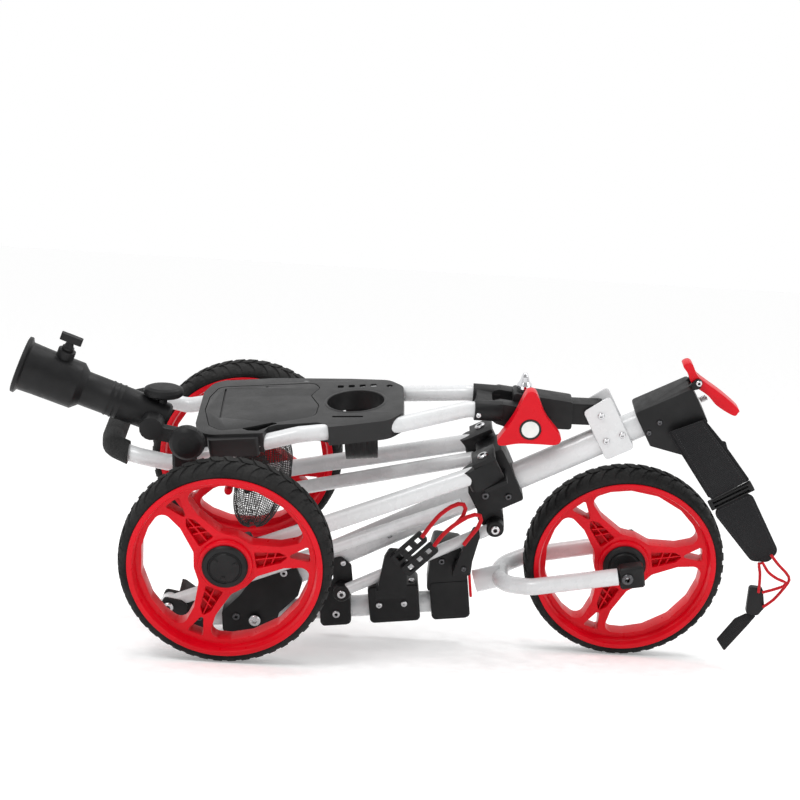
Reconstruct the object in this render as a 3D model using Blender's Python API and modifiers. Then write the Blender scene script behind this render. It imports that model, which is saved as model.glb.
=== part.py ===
"""Folding three-wheel golf push trolley, folded flat. Metres, +Z up.

The pieces are laid out in the trolley's own frame: X runs forward to the front wheel, Y to the far side, and
Z = 0 is level with the bottoms of the three wheels, with the rear axle line at X = 0. Folded, its low hinge
reaches below the wheels, so the trolley rests leaning on the near rear wheel, the front wheel and that hinge.
The root empty holds that lean.
"""

import math

import bmesh
import bpy
from mathutils import Matrix, Vector

for thing in list(bpy.data.objects):
    bpy.data.objects.remove(thing, do_unlink=True)

# ---- Driving dimensions -------------------------------------------------------------------------------------
REST_ROLL = math.radians(16.612)  # lean towards the near side
REST_PITCH = math.radians(5.462)  # front end down
REST_PLACE = Vector((-0.24623, 0.04217, 0.06031))

GAP = 0.0003  # between pieces that touch
RUNNING = 0.0004  # between a pin and its bore

WHEEL_RADIUS = 0.1475
TYRE_HALF_WIDTH = 0.028
RIM_EDGE_RADIUS = 0.1334
RIM_HALF_WIDTH = 0.0295
HUB_RADIUS = 0.038
HUB_INNER, HUB_OUTER = -0.024, 0.020
CAP_RADIUS = 0.0315
AXLE_RADIUS = 0.006
HALF_TRACK = 0.192
FRONT_X = 0.574
SPOKE_ANGLES = (16, 136, 256)

TUBE_SLOPE = math.radians(34.5)
TUBE_LOW = Vector((0.084, 0, 0.041))
TUBE_LENGTH = 0.652
TUBE_HALF_HEIGHT, TUBE_HALF_WIDTH = 0.0205, 0.017
TUBE_WALL = 0.0018

KEEL_SLOPE = math.radians(13.2)
KEEL_RADIUS = 0.016
FOLD_PIVOT = Vector((0.050, 0, -0.026))
KEEL_REACH = 0.318  # from the fold pivot to the keel's front end
STUB_START, STUB_END = 0.037, 0.089  # distances behind the fold pivot
BRACE_Y = -0.036
CLEVIS_PIN = Vector((-0.078, BRACE_Y, -0.012))

ARM_RADIUS = 0.0125
ARM_PIVOT = Vector((0.348, -0.056, 0.281))
CARRIER_PIVOT = Vector((0.008, -0.142, 0.132))
BARREL_RADIUS = 0.013
BARREL_HALF = 0.0170
EAR_OFFSET, EAR_THICK = 0.0205, 0.006

STRUT_TOP = Vector((0.374, -0.033, 0.184))
STRUT_LOW = Vector((0.170, -0.033, 0.045))
STRUT_RADIUS = 0.0085

HANDLE_PIVOT = Vector((0.395, 0, 0.356))
HANDLE_RADIUS = 0.0115
STEM_SLOPE = math.radians(6.6)
STEM_HALF = 0.0175

CONSOLE_ORIGIN = Vector((-0.073, 0, 0.2865))
CONSOLE_SLOPE = math.radians(11.8)
CONSOLE_THICK = 0.028
CUP_HOLE = (0.224, 0.041)  # place along the console, radius
LID_HINGE_V = 0.080

HOLDER_PIVOT = Vector((-0.130, -0.060, 0.289))
HOLDER_SLOPE = math.radians(13.5)
HOLDER_LENGTH = 0.201
WHEEL_PLACE = Vector((-0.077, 0, 0.2875))  # the umbrella clamp's hand wheel
TRIGGER_PIVOT = Vector((0.622, 0, 0.443))
STRAP_Y = -0.040

PARTS = bpy.data.collections.new("golf_push_trolley")
TOOLS = bpy.data.collections.new("cutters")
for collection in (PARTS, TOOLS):
    bpy.context.scene.collection.children.link(collection)


# ---- Materials ----------------------------------------------------------------------------------------------
def paint(name, colour, roughness, metallic=0.0):
    material = bpy.data.materials.new(name)
    material.use_nodes = True
    shader = material.node_tree.nodes["Principled BSDF"]
    shader.inputs["Base Color"].default_value = (*colour, 1)
    shader.inputs["Roughness"].default_value = roughness
    shader.inputs["Metallic"].default_value = metallic
    return material


WHITE = paint("white_paint", (0.80, 0.80, 0.79), 0.3)
BLACK = paint("black_plastic", (0.03, 0.03, 0.03), 0.5)
RED = paint("red_plastic", (0.72, 0.02, 0.03), 0.35)
RUBBER = paint("tyre_foam", (0.025, 0.025, 0.025), 0.85)
GRIP = paint("grip_rubber", (0.02, 0.02, 0.02), 0.8)
STEEL = paint("steel", (0.6, 0.6, 0.6), 0.3, 1.0)
WEB = paint("webbing", (0.02, 0.02, 0.02), 0.9)
CORD = paint("bungee", (0.65, 0.02, 0.03), 0.6)
MESH = paint("mesh_net", (0.02, 0.02, 0.02), 0.9)


# ---- Places -------------------------------------------------------------------------------------------------
def along(slope):
    """Unit vector in the XZ plane, rising by slope towards +X."""
    return Vector((math.cos(slope), 0, math.sin(slope)))


def across(slope):
    """Unit vector square to along(slope), pointing up."""
    return Vector((-math.sin(slope), 0, math.cos(slope)))


def on_tube(s, h, y=0.0):
    """The point s along the main tube from its low end, and h above its centre line."""
    return TUBE_LOW + along(TUBE_SLOPE) * s + across(TUBE_SLOPE) * h + Vector((0, y, 0))


def on_keel(s, h, y=0.0):
    """The point s in front of the fold pivot along the keel, and h above its centre line."""
    return FOLD_PIVOT + along(KEEL_SLOPE) * s + across(KEEL_SLOPE) * h + Vector((0, y, 0))


def flat(points):
    """The X and Z of each point."""
    return [(p.x, p.z) for p in points]


def mirrored(point):
    return Vector((point.x, -point.y, point.z))


def filleted(corners, radius, steps=2, closed=True):
    """The corners of a path, each rounded by an arc of about that radius, in two or three dimensions."""
    corners = [Vector(c) for c in corners]
    count = len(corners)
    points = []
    for i, corner in enumerate(corners):
        if not closed and i in (0, count - 1):
            points.append(corner)
            continue
        before = corners[i - 1] - corner
        after = corners[(i + 1) % count] - corner
        angle = before.angle(after)
        reach = min(radius / math.tan(angle / 2), 0.48 * before.length, 0.48 * after.length)
        real_radius = reach * math.tan(angle / 2)
        middle = (before.normalized() + after.normalized()).normalized()
        centre = corner + middle * (real_radius / math.sin(angle / 2))
        start = corner + before.normalized() * reach - centre
        end = corner + after.normalized() * reach - centre
        for step in range(steps + 1):
            share = step / steps
            spoke = start.lerp(end, share)
            points.append(centre + spoke.normalized() * real_radius)
    return points


# ---- Shapes -------------------------------------------------------------------------------------------------
def place(name, mesh, material, matrix=None, collection=PARTS):
    obj = bpy.data.objects.new(name, mesh)
    collection.objects.link(obj)
    if matrix is not None:
        obj.matrix_world = matrix
    if material is not None:
        mesh.materials.clear()
        mesh.materials.append(material)
    return obj


def solid(obj):
    """The same object as a plain mesh, its modifiers applied and its loose caps welded."""
    bpy.context.view_layer.update()
    graph = bpy.context.evaluated_depsgraph_get()
    mesh = bpy.data.meshes.new_from_object(obj.evaluated_get(graph))
    bm = bmesh.new()
    bm.from_mesh(mesh)
    bmesh.ops.remove_doubles(bm, verts=bm.verts, dist=1e-6)
    bmesh.ops.recalc_face_normals(bm, faces=bm.faces)
    bm.to_mesh(mesh)
    bm.free()
    name, matrix = obj.name, obj.matrix_world.copy()
    material = obj.data.materials[0] if obj.data.materials else None
    bpy.data.objects.remove(obj, do_unlink=True)
    made = place(name, mesh, material, matrix)
    made.name = name
    return made


def frame_between(start, end):
    """A frame half way from start to end: its Z runs to end, and its X lies along the trolley's Y if it can."""
    z = (end - start).normalized()
    x = Vector((0, 1, 0)) if abs(z.y) < 0.9 else Vector((1, 0, 0))
    y = z.cross(x).normalized()
    x = y.cross(z).normalized()
    turn = Matrix((x, y, z)).transposed().to_4x4()
    return Matrix.Translation((start + end) / 2) @ turn


def rod(name, start, end, radius, material=None, end_radius=None, half_width=None, sides=16):
    """A cylinder or cone from start to end. half_width is its half size across, along Y, where it is oval."""
    start, end = Vector(start), Vector(end)
    bm = bmesh.new()
    bmesh.ops.create_cone(
        bm,
        cap_ends=True,
        segments=sides,
        radius1=radius,
        radius2=radius if end_radius is None else end_radius,
        depth=(end - start).length,
    )
    if half_width is not None:
        bmesh.ops.scale(bm, vec=(half_width / radius, 1, 1), verts=bm.verts)
    mesh = bpy.data.meshes.new(name)
    bm.to_mesh(mesh)
    bm.free()
    mesh.shade_smooth()
    mesh.set_sharp_from_angle(angle=math.radians(40))
    return place(name, mesh, material, frame_between(start, end))


def block(name, centre, size, material=None, slope=0.0, rounding=0.0):
    """A box of that size, its X rising by slope, with rounded edges."""
    bm = bmesh.new()
    bmesh.ops.create_cube(bm, size=1)
    bmesh.ops.scale(bm, vec=size, verts=bm.verts)
    mesh = bpy.data.meshes.new(name)
    bm.to_mesh(mesh)
    bm.free()
    turn = Matrix.Rotation(-slope, 4, "Y")
    obj = place(name, mesh, material, Matrix.Translation(centre) @ turn)
    return rounded(obj, rounding) if rounding else obj


def rounded(obj, width, segments=1):
    bevel = obj.modifiers.new("rounding", "BEVEL")
    bevel.width = width
    bevel.segments = segments
    bevel.limit_method = "ANGLE"
    bevel.angle_limit = math.radians(35)
    return solid(obj)


def slab(name, outlines, low, high, matrix, material=None):
    """A flat outline, with any holes after it, filled from low to high along the matrix's Z."""
    curve = bpy.data.curves.new(name, "CURVE")
    curve.dimensions = "2D"
    curve.fill_mode = "BOTH"
    curve.extrude = (high - low) / 2
    for outline in outlines:
        spline = curve.splines.new("POLY")
        spline.points.add(len(outline) - 1)
        for point, xy in zip(spline.points, outline):
            point.co = (xy[0], xy[1], 0, 1)
        spline.use_cyclic_u = True
    middle = Matrix.Translation((0, 0, (high + low) / 2))
    obj = place(name, curve, material, matrix @ middle)
    return solid(obj)


SIDE_ON = Matrix.Rotation(math.radians(90), 4, "X")  # local XY is the trolley's XZ, local Z is -Y


def plate(name, outline, near, far, material=None, corner=0.0, rounding=0.0):
    """A side plate: an XZ outline, from Y = near to Y = far, its corners rounded by corner."""
    outline = [(p[0], p[-1]) for p in outline]
    if corner:
        outline = filleted(outline, corner)
    obj = slab(name, [outline], -far, -near, SIDE_ON, material)
    return rounded(obj, rounding) if rounding else obj


def pipe(name, corners, radius, material=None, bend=0.05, sides=2, steps=5):
    """A round tube along a path whose corners are bent to that radius. sides is the bevel resolution."""
    curve = bpy.data.curves.new(name, "CURVE")
    curve.dimensions = "3D"
    curve.bevel_depth = radius
    curve.bevel_resolution = sides
    curve.use_fill_caps = True
    path = filleted(corners, bend, steps, closed=False) if len(corners) > 2 else corners
    spline = curve.splines.new("POLY")
    spline.points.add(len(path) - 1)
    for point, place_at in zip(spline.points, path):
        point.co = (*place_at, 1)
    return solid(place(name, curve, material))


def cord(name, points, radius, material):
    """A cord's tube along a smooth curve through the points, with a point about every two and a half diameters."""
    curve = smooth_path(points, radius * 5)
    return pipe(name, curve, radius, material, bend=radius, sides=2, steps=1)


def smooth_path(points, spacing):
    """A Catmull-Rom curve through the points, sampled about every spacing."""
    points = [Vector(p) for p in points]
    ends = [points[0] * 2 - points[1]] + points + [points[-1] * 2 - points[-2]]
    path = [points[0]]
    for i in range(1, len(ends) - 2):
        before, start, end, after = ends[i - 1 : i + 3]
        count = max(1, round((end - start).length / spacing))
        for step in range(1, count + 1):
            t = step / count
            path.append(
                0.5
                * (
                    2 * start
                    + (end - before) * t
                    + (2 * before - 5 * start + 4 * end - after) * t**2
                    + (3 * start - before - 3 * end + after) * t**3
                )
            )
    return path


def turned(name, profile, matrix, material=None, steps=30, closed=True):
    """A profile of (radius, height) points turned about the matrix's Z. It runs down the outer side."""
    bm = bmesh.new()
    verts = [bm.verts.new((r, 0, z)) for r, z in profile]
    for start, end in zip(verts, verts[1:]):
        bm.edges.new((start, end))
    if closed:
        bm.edges.new((verts[-1], verts[0]))
    mesh = bpy.data.meshes.new(name)
    bm.to_mesh(mesh)
    bm.free()
    obj = place(name, mesh, material, matrix)
    screw = obj.modifiers.new("turn", "SCREW")
    screw.axis = "Z"
    screw.steps = steps
    screw.render_steps = steps
    screw.use_merge_vertices = True
    screw.merge_threshold = 0.00001
    made = solid(obj)
    made.data.shade_smooth()
    made.data.set_sharp_from_angle(angle=math.radians(40))
    return made


def combine(target, how, others):
    for other in others:
        change = target.modifiers.new(how.lower(), "BOOLEAN")
        change.operation = how
        change.object = other
    made = solid(target)
    for other in others:
        bpy.data.objects.remove(other, do_unlink=True)
    return made


def cut(target, *others):
    return combine(target, "DIFFERENCE", others)


def join(target, *others):
    return combine(target, "UNION", others)


# ---- Bodies: each moving one hangs on an empty that sits on its joint's axis ------------------------------------
BODIES = {}


def body(name, pivot, parent=None):
    empty = bpy.data.objects.new("body_" + name, None)
    PARTS.objects.link(empty)
    empty.location = pivot
    BODIES[name] = empty
    if parent is not None:
        bpy.context.view_layer.update()
        attach(empty, parent)
    return empty


def attach(obj, name):
    bpy.context.view_layer.update()
    obj.parent = BODIES[name]
    obj.matrix_parent_inverse = BODIES[name].matrix_world.inverted()


def assign(name, *objects):
    for obj in objects:
        attach(obj, name)


# ---- Wheels -------------------------------------------------------------------------------------------------
def polar(radius, degrees):
    return Vector((radius * math.cos(math.radians(degrees)), radius * math.sin(math.radians(degrees))))


def window(corners, corner_radius):
    """A window in the wheel's face, from (radius, degrees) corners."""
    return filleted([polar(r, a) for r, a in corners], corner_radius, steps=2)


def rim_mesh():
    """The wheel's red moulding: barrel, three split spokes and hub, bored for its axle, about local Z."""
    edge, half = RIM_EDGE_RADIUS, RIM_HALF_WIDTH
    barrel = turned(
        "rim",
        [(edge, half), (edge, 0.0265), (0.129, 0.0265), (0.129, -0.0265), (edge, -0.0265),
         (edge, -half), (0.1245, -half), (0.1225, 0), (0.1245, half)],
        Matrix(),
    )  # fmt: skip
    outlines = [[polar(0.1255, a) for a in range(0, 360, 12)]]
    for angle in SPOKE_ANGLES:
        outlines.append(window([(0.1165, angle - 6), (0.1165, angle + 6), (0.084, angle)], 0.003))
        outer = [(0.1165, angle + a) for a in (9.5, 35, 60, 85, 110.5)]
        inner = [(0.080, angle + 108.5), (0.0465, angle + 89), (0.0440, angle + 60), (0.0465, angle + 31),
                 (0.080, angle + 11.5)]  # fmt: skip
        outlines.append(window(outer + inner, 0.010))
    face = slab("face", outlines, -0.012, 0.013, Matrix())
    hub = rod("hub", (0, 0, HUB_INNER), (0, 0, HUB_OUTER), HUB_RADIUS, sides=20)
    bore = rod("bore", (0, 0, -0.05), (0, 0, 0.05), AXLE_RADIUS + RUNNING)
    rim = cut(join(barrel, face, hub), bore)
    mesh = rim.data
    bpy.data.objects.remove(rim, do_unlink=True)
    return mesh


RIM = rim_mesh()


def wheel(prefix, centre, side, cap_hole=0):
    """A tyre, rim and hub cap. side is -1 where the wheel's face looks to -Y, and 1 where it looks to +Y."""
    matrix = Matrix.Translation(centre) @ Matrix.Rotation(math.radians(-90 * side), 4, "X")
    bead, w = RIM_HALF_WIDTH - 0.0033, TYRE_HALF_WIDTH
    r = WHEEL_RADIUS
    tyre = turned(
        prefix + "_tyre",
        [(0.1338, bead), (0.1405, w), (r - 0.0015, w - 0.0055), (r, 0.011), (r, -0.011),
         (r - 0.0015, 0.0055 - w), (0.1405, -w), (0.1338, -bead), (0.1293, -bead), (0.1293, bead)],
        matrix,
        RUBBER,
    )  # fmt: skip
    rim = place(prefix + "_rim", RIM.copy(), RED, matrix)
    cap = turned(
        prefix + "_hub_cap",
        [(cap_hole, HUB_OUTER + 0.0075), (0.022, HUB_OUTER + 0.007), (CAP_RADIUS, HUB_OUTER + 0.005),
         (CAP_RADIUS, HUB_OUTER + GAP), (cap_hole, HUB_OUTER + GAP)],
        matrix,
        BLACK,
        steps=20,
        closed=cap_hole > 0,
    )  # fmt: skip
    return tyre, rim, cap


# ---- Root: main tube, its brackets, the rear triangle and the stem --------------------------------------------
def tube_clearance(start=-0.02, end=0.7, extra=GAP):
    return rod(
        "clearance",
        on_tube(start, 0),
        on_tube(end, 0),
        TUBE_HALF_HEIGHT + extra,
        half_width=TUBE_HALF_WIDTH + extra,
        sides=28,
    )


def main_tube():
    outer = rod("main_tube", on_tube(0, 0), on_tube(TUBE_LENGTH, 0), TUBE_HALF_HEIGHT, WHITE,
                half_width=TUBE_HALF_WIDTH, sides=28)  # fmt: skip
    return cut(outer, tube_clearance(extra=-TUBE_WALL))


def pivot_ears(pivot, reach_in, reach_out):
    """Two ears square to the arm's pivot axis, with the pin through them, as loose shapes to join."""
    up = across(TUBE_SLOPE)
    middle = Vector((0, (reach_out + reach_in) / 2, 0))
    size = (0.034, abs(reach_out - reach_in), EAR_THICK)
    shapes = []
    for sign in (-1, 1):
        centre = Vector((pivot.x, 0, pivot.z)) + middle + up * (sign * EAR_OFFSET)
        shapes.append(block("ear", centre, size, slope=TUBE_SLOPE))
    half = up * (EAR_OFFSET + EAR_THICK / 2 + 0.002)
    shapes.append(rod("pin", pivot - half, pivot + half, 0.005))
    return shapes


def mid_bracket():
    outline = [on_tube(s, h) for s, h in (
        (0.338, 0.060), (0.379, 0.060), (0.379, 0.028), (0.3755, -0.026), (0.340, -0.0258),
        (0.307, -0.0258), (0.307, 0.018), (0.316, 0.034), (0.338, 0.036))]  # fmt: skip
    core = plate("mid_bracket", flat(outline), -0.030, 0.030, BLACK, corner=0.004)
    ears = []
    for pivot in (ARM_PIVOT, mirrored(ARM_PIVOT)):
        side = math.copysign(1, pivot.y)
        ears += pivot_ears(pivot, side * 0.028, side * 0.074)
    return cut(join(core, *ears), tube_clearance())


def arm(name, pivot, carrier_pivot):
    """A rear arm: its tube, with a bored barrel at each end."""
    up = across(TUBE_SLOPE)
    tube = rod(name, pivot, carrier_pivot, ARM_RADIUS, WHITE)
    shapes, bores = [], []
    for centre in (pivot, carrier_pivot):
        half = up * BARREL_HALF
        shapes.append(rod("barrel", centre - half, centre + half, BARREL_RADIUS))
        bores.append(rod("bore", centre - half * 2, centre + half * 2, 0.005 + RUNNING))
    return cut(join(tube, *shapes), *bores)


def carrier(name, pivot, side):
    """The wheel carrier at an arm's end: two ears and a pin, a web outside them and the wheel's axle."""
    ears = pivot_ears(pivot, pivot.y - side * 0.013, pivot.y + side * 0.016)
    web_y = pivot.y + side * 0.018
    axle_y = side * (HALF_TRACK + HUB_OUTER - 0.001)
    middle = (pivot + Vector((0, pivot.y, WHEEL_RADIUS))) / 2
    web = block(name, (middle.x, web_y, middle.z), (0.034, 0.006, 0.052), BLACK, slope=TUBE_SLOPE)
    axle = rod("axle", (0, web_y, WHEEL_RADIUS), (0, axle_y, WHEEL_RADIUS), AXLE_RADIUS)
    return join(web, *ears, axle)


def main_hinge_bracket():
    outline = [(0.062, 0.058), (0.092, 0.078), (0.111, 0.046), (0.108, 0.022), (0.084, -0.010),
               (0.082, -0.034), (0.060, -0.047), (0.006, -0.056), (0.000, -0.022), (0.022, 0.008),
               (0.036, 0.036)]  # fmt: skip
    shell = plate("main_hinge_bracket", outline, -0.0235, 0.0235, BLACK, corner=0.006)
    swing = [(0.0165, 0.000), (0.040, 0.012), (0.095, 0.012), (0.30, 0.10), (0.30, -0.2), (0.004, -0.2)]
    slot = plate("slot", swing, -0.0168, 0.0168)
    stub = rod("stub", on_keel(-STUB_START, 0), on_keel(-0.15, 0), KEEL_RADIUS + GAP)
    pin = rod("pin", FOLD_PIVOT - Vector((0, 0.05, 0)), FOLD_PIVOT + Vector((0, 0.05, 0)), 0.0054)
    return cut(shell, slot, stub, pin, tube_clearance(start=-GAP))


def rear_triangle():
    stub = rod("rear_stub_tube", on_keel(-STUB_START, 0), on_keel(-STUB_END, 0), KEEL_RADIUS, WHITE)
    outline = [(-0.092, -0.020), (-0.074, -0.046), (-0.048, -0.057), (-0.016, -0.053),
               (-0.010, -0.020), (-0.040, -0.012), (-0.060, 0.000), (-0.086, 0.002)]  # fmt: skip
    clevis = plate("clevis_block", outline, BRACE_Y - 0.0145, 0.0205, BLACK, corner=0.005)
    stub_room = rod("room", on_keel(0, 0), on_keel(-STUB_END - 0.0003, 0), KEEL_RADIUS + GAP)
    brace_room = plate("room", [(-0.12, -0.0275), (-0.070, -0.0275), (0.010, 0.0275), (0.010, 0.05),
                                (-0.12, 0.05)], BRACE_Y - 0.0104, BRACE_Y + 0.0104)  # fmt: skip
    far_room = plate("room", [(-0.12, -0.1), (-0.066, -0.0365), (-0.066, 0.05), (-0.12, 0.05)], -0.0200, 0.05)
    near_room = plate("room", [(-0.12, -0.1), (0.05, -0.1), (0.05, 0.05), (-0.050, 0.05), (-0.050, -0.037),
                               (-0.12, -0.037)], -0.1, -0.0205)  # fmt: skip
    clevis = cut(clevis, stub_room, brace_room, far_room, near_room)
    low = CLEVIS_PIN
    high = Vector((0.321, BRACE_Y, 0.2125))
    direction = (high - low).normalized()
    brace = rod("brace_tube", low + direction * 0.004, high, 0.0095, WHITE)
    eye = rod("eye", low - Vector((0, 0.0095, 0)), low + Vector((0, 0.0095, 0)), 0.012)
    eye_bore = rod("bore", low - Vector((0, 0.03, 0)), low + Vector((0, 0.03, 0)), 0.0044)
    brace = cut(join(brace, eye), eye_bore)
    bolt = rod("bolt", low - Vector((0, 0.0180, 0)), low + Vector((0, 0.0165, 0)), 0.004)
    return stub, join(clevis, bolt), brace


def far_stay():
    """The second link of the far rear arm, below and inside the arm itself."""
    return rod("far_stay_tube", (0.333, 0.0398, 0.2554), (0.060, 0.119, 0.122), 0.0105, WHITE)


def handle_mount_bracket():
    s_low, s_high = 0.506, 0.550
    outer = [on_tube(s, h) for s, h in ((s_low, -0.0242), (s_high, -0.0242), (s_high, 0.064), (s_low, 0.058))]
    inner = [on_tube(s, h) for s, h in ((s_low - 0.02, -0.0212), (s_high + 0.02, -0.0212),
                                         (s_high + 0.02, 0.09), (s_low - 0.02, 0.09))]  # fmt: skip
    channel = plate("handle_mount_bracket", flat(outer), -0.0207, 0.0207, WHITE, corner=0.005)
    return cut(channel, plate("room", flat(inner), -0.0176, 0.0176))


def stem():
    run, rise = along(STEM_SLOPE), across(STEM_SLOPE)
    pivot = HANDLE_PIVOT
    corners = [pivot + run * 0.060 + rise * 0.0235, pivot - run * 0.026 + rise * 0.034,
               pivot - run * 0.026 + rise * 0.018, pivot - run * 0.016 - rise * 0.017,
               pivot + run * 0.060 - rise * 0.018]  # fmt: skip
    outer = plate("stem_outer", flat(corners), -STEM_HALF, STEM_HALF, BLACK, corner=0.004)
    inner_start, inner_end = pivot + run * 0.030 + rise * 0.0045, pivot + run * 0.104 + rise * 0.0045
    size = ((inner_end - inner_start).length, 0.029, 0.032)
    inner = block("stem_inner", (inner_start + inner_end) / 2, size, BLACK, STEM_SLOPE, 0.0015)
    room_size = [side + 2 * GAP for side in size]
    room = block("room", (inner_start + inner_end) / 2, room_size, slope=STEM_SLOPE)
    pin = rod("pin", pivot - Vector((0, 0.047, 0)), pivot + Vector((0, 0.0425, 0)), 0.005)
    outer = join(cut(outer, room), pin)
    inner = cut(inner, tube_clearance(extra=0.0006))
    return outer, inner


def upper_bag_sleeve():
    outline = [on_tube(s, h) for s, h in (
        (0.572, 0.0277), (0.660, 0.0277), (0.661, -0.027), (0.634, -0.066), (0.618, -0.069),
        (0.572, -0.0277))]  # fmt: skip
    sleeve = plate("upper_bag_sleeve", flat(outline), -0.0275, 0.0275, BLACK, corner=0.004, rounding=0.002)
    ear_outline = [(0.600, 0.424), (0.6260, 0.4350), (0.6275, 0.4470), (0.6185, 0.4490)]
    ears = [plate("ear", ear_outline, near, near + 0.004, corner=0.004) for near in (-0.0150, 0.0110)]
    pin = rod("pin", TRIGGER_PIVOT - Vector((0, 0.0165, 0)), TRIGGER_PIVOT + Vector((0, 0.0165, 0)), 0.003)
    return cut(join(sleeve, *ears, pin), tube_clearance(end=TUBE_LENGTH + GAP))


def release_trigger():
    outline = [(0.596, 0.464), (0.601, 0.470), (0.609, 0.468), (0.619, 0.452), (0.636, 0.442),
               (0.661, 0.429), (0.687, 0.412), (0.688, 0.406), (0.682, 0.401), (0.656, 0.412),
               (0.640, 0.425), (0.620, 0.435), (0.612, 0.441), (0.604, 0.454)]  # fmt: skip
    lever = plate("release_trigger", outline, -0.0105, 0.0105, RED, corner=0.003, rounding=0.0015)
    y = Vector((0, 0.03, 0))
    return cut(lever, rod("bore", TRIGGER_PIVOT - y, TRIGGER_PIVOT + y, 0.0034))


def trigger_spring():
    start = on_tube(0.6612, -0.004)
    axis, side, up = along(TUBE_SLOPE), Vector((0, 1, 0)), across(TUBE_SLOPE)
    turns, points_a_turn, length, radius = 3, 6, 0.0105, 0.004
    points = []
    for i in range(turns * points_a_turn + 1):
        angle = 2 * math.pi * i / points_a_turn
        share = i / (turns * points_a_turn)
        spoke = side * math.cos(angle) + up * math.sin(angle)
        points.append(start + axis * (0.001 + length * share) + spoke * radius)
    return pipe("trigger_spring", points, 0.0007, STEEL, bend=0.0005, steps=1)


def bag_strap():
    """The upper bag strap hangs flat against the near side: webbing, buckle, tapered pad, hook and tail."""
    near, far = STRAP_Y - 0.0015, STRAP_Y + 0.0015
    web = plate("bag_strap", [(0.593, 0.374), (0.634, 0.397), (0.7164, 0.3165), (0.6724, 0.2795)], near, far, WEB,
                corner=0.003)  # fmt: skip
    buckle = block("strap_buckle", (0.699, STRAP_Y, 0.2905), (0.068, 0.009, 0.014), BLACK, math.radians(38),
                   0.002)  # fmt: skip
    pad = plate("strap_pad", [(0.6762, 0.2632), (0.7254, 0.3020), (0.786, 0.216), (0.776, 0.196), (0.750, 0.194)],
                STRAP_Y - 0.003, STRAP_Y + 0.003, WEB, corner=0.012)  # fmt: skip
    hook = plate("strap_hook", [(0.757, 0.154), (0.777, 0.154), (0.786, 0.124), (0.779, 0.110), (0.761, 0.110)],
                 STRAP_Y - 0.005, STRAP_Y + 0.005, BLACK, corner=0.004, rounding=0.0015)  # fmt: skip
    tail = plate("strap_tail", [(0.7620, 0.1085), (0.7780, 0.1085), (0.7700, 0.0920), (0.7440, 0.0430),
                                (0.7290, 0.0600), (0.7480, 0.0980)], near, far, WEB, corner=0.002)  # fmt: skip
    low = STRAP_Y - 0.0105
    long_loop = [(0.7745, low, 0.2120), (0.7880, low, 0.1990), (0.8030, low, 0.1870), (0.8095, low, 0.1770),
                 (0.8040, low, 0.1610), (0.7940, low, 0.1420), (0.7825, low + 0.002, 0.1270)]  # fmt: skip
    short_loop = [(0.7700, low, 0.1500), (0.7680, low, 0.1660), (0.7645, low, 0.1830), (0.7600, low, 0.1960),
                  (0.7640, low - 0.005, 0.2000), (0.7740, low - 0.006, 0.1880), (0.7900, low - 0.006, 0.1790),
                  (0.8040, low - 0.006, 0.1750), (0.8020, low - 0.006, 0.1690), (0.7890, low - 0.004, 0.1600),
                  (0.7755, low, 0.1510)]  # fmt: skip
    cords = [cord("upper_bungee_long", long_loop, 0.0022, CORD),
             cord("upper_bungee_short", short_loop, 0.0022, CORD)]  # fmt: skip
    return web, buckle, pad, hook, tail, *cords


def clamp_knob():
    corners = [(0.384, 0.410), (0.391, 0.409), (0.437, 0.348), (0.433, 0.337), (0.355, 0.324), (0.350, 0.333),
               (0.376, 0.405)]  # fmt: skip
    return plate("clamp_knob", corners, -0.066, -0.0475, RED, corner=0.007, rounding=0.003)


# ---- Front leg: keel, clamps, lower bag rest and fork -----------------------------------------------------------
def keel_clearance():
    return rod("clearance", on_keel(-0.05, 0), on_keel(0.5, 0), KEEL_RADIUS + GAP)


def keel_tube():
    y = Vector((0, 0.05, 0))
    tube = rod("keel_tube", on_keel(-0.012, 0), on_keel(KEEL_REACH, 0), KEEL_RADIUS, WHITE)
    core = rod("core", on_keel(0.03, 0), on_keel(0.5, 0), KEEL_RADIUS - 0.002)
    return cut(tube, core, rod("bore", FOLD_PIVOT - y, FOLD_PIVOT + y, 0.0054))


def keel_clamp():
    """The clamp that carries the strut's low end, with the clip beside it that holds the folded main tube."""
    core = [on_keel(s, h) for s, h in ((0.0960, -0.0195), (0.1420, -0.0195), (0.1440, 0.0235), (0.0980, 0.0235))]
    clamp = plate("keel_clamp", flat(core), -0.0225, 0.0225, BLACK, corner=0.006, rounding=0.004)
    clip_outline = [on_keel(s, h) for s, h in (
        (0.104, 0.010), (0.132, 0.010), (0.138, 0.034), (0.150, 0.052), (0.150, 0.078), (0.136, 0.092),
        (0.118, 0.088), (0.122, 0.058), (0.106, 0.036))]  # fmt: skip
    clip = plate("clip", flat(clip_outline), -0.0225, -0.0178, corner=0.005)
    return cut(join(clamp, clip), keel_clearance())


def bag_bracket():
    core = [on_keel(s, h) for s, h in ((0.1705, -0.0195), (0.2450, -0.0195), (0.2450, 0.0405), (0.1705, 0.0405))]
    base = plate("bag_bracket", flat(core), -0.0235, 0.0235, BLACK, corner=0.006, rounding=0.005)
    leg = plate("leg", [(0.2200, 0.0640), (0.2625, 0.0720), (0.2570, 0.1120), (0.2410, 0.1330), (0.2270, 0.1320),
                        (0.2220, 0.1180)], -0.0560, -0.0445, corner=0.005)  # fmt: skip
    foot = plate("foot", [(0.2185, 0.0650), (0.2200, 0.0510), (0.2620, 0.0605), (0.2610, 0.0740)], -0.0555, -0.010)
    return cut(join(base, leg, foot), keel_clearance())


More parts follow.
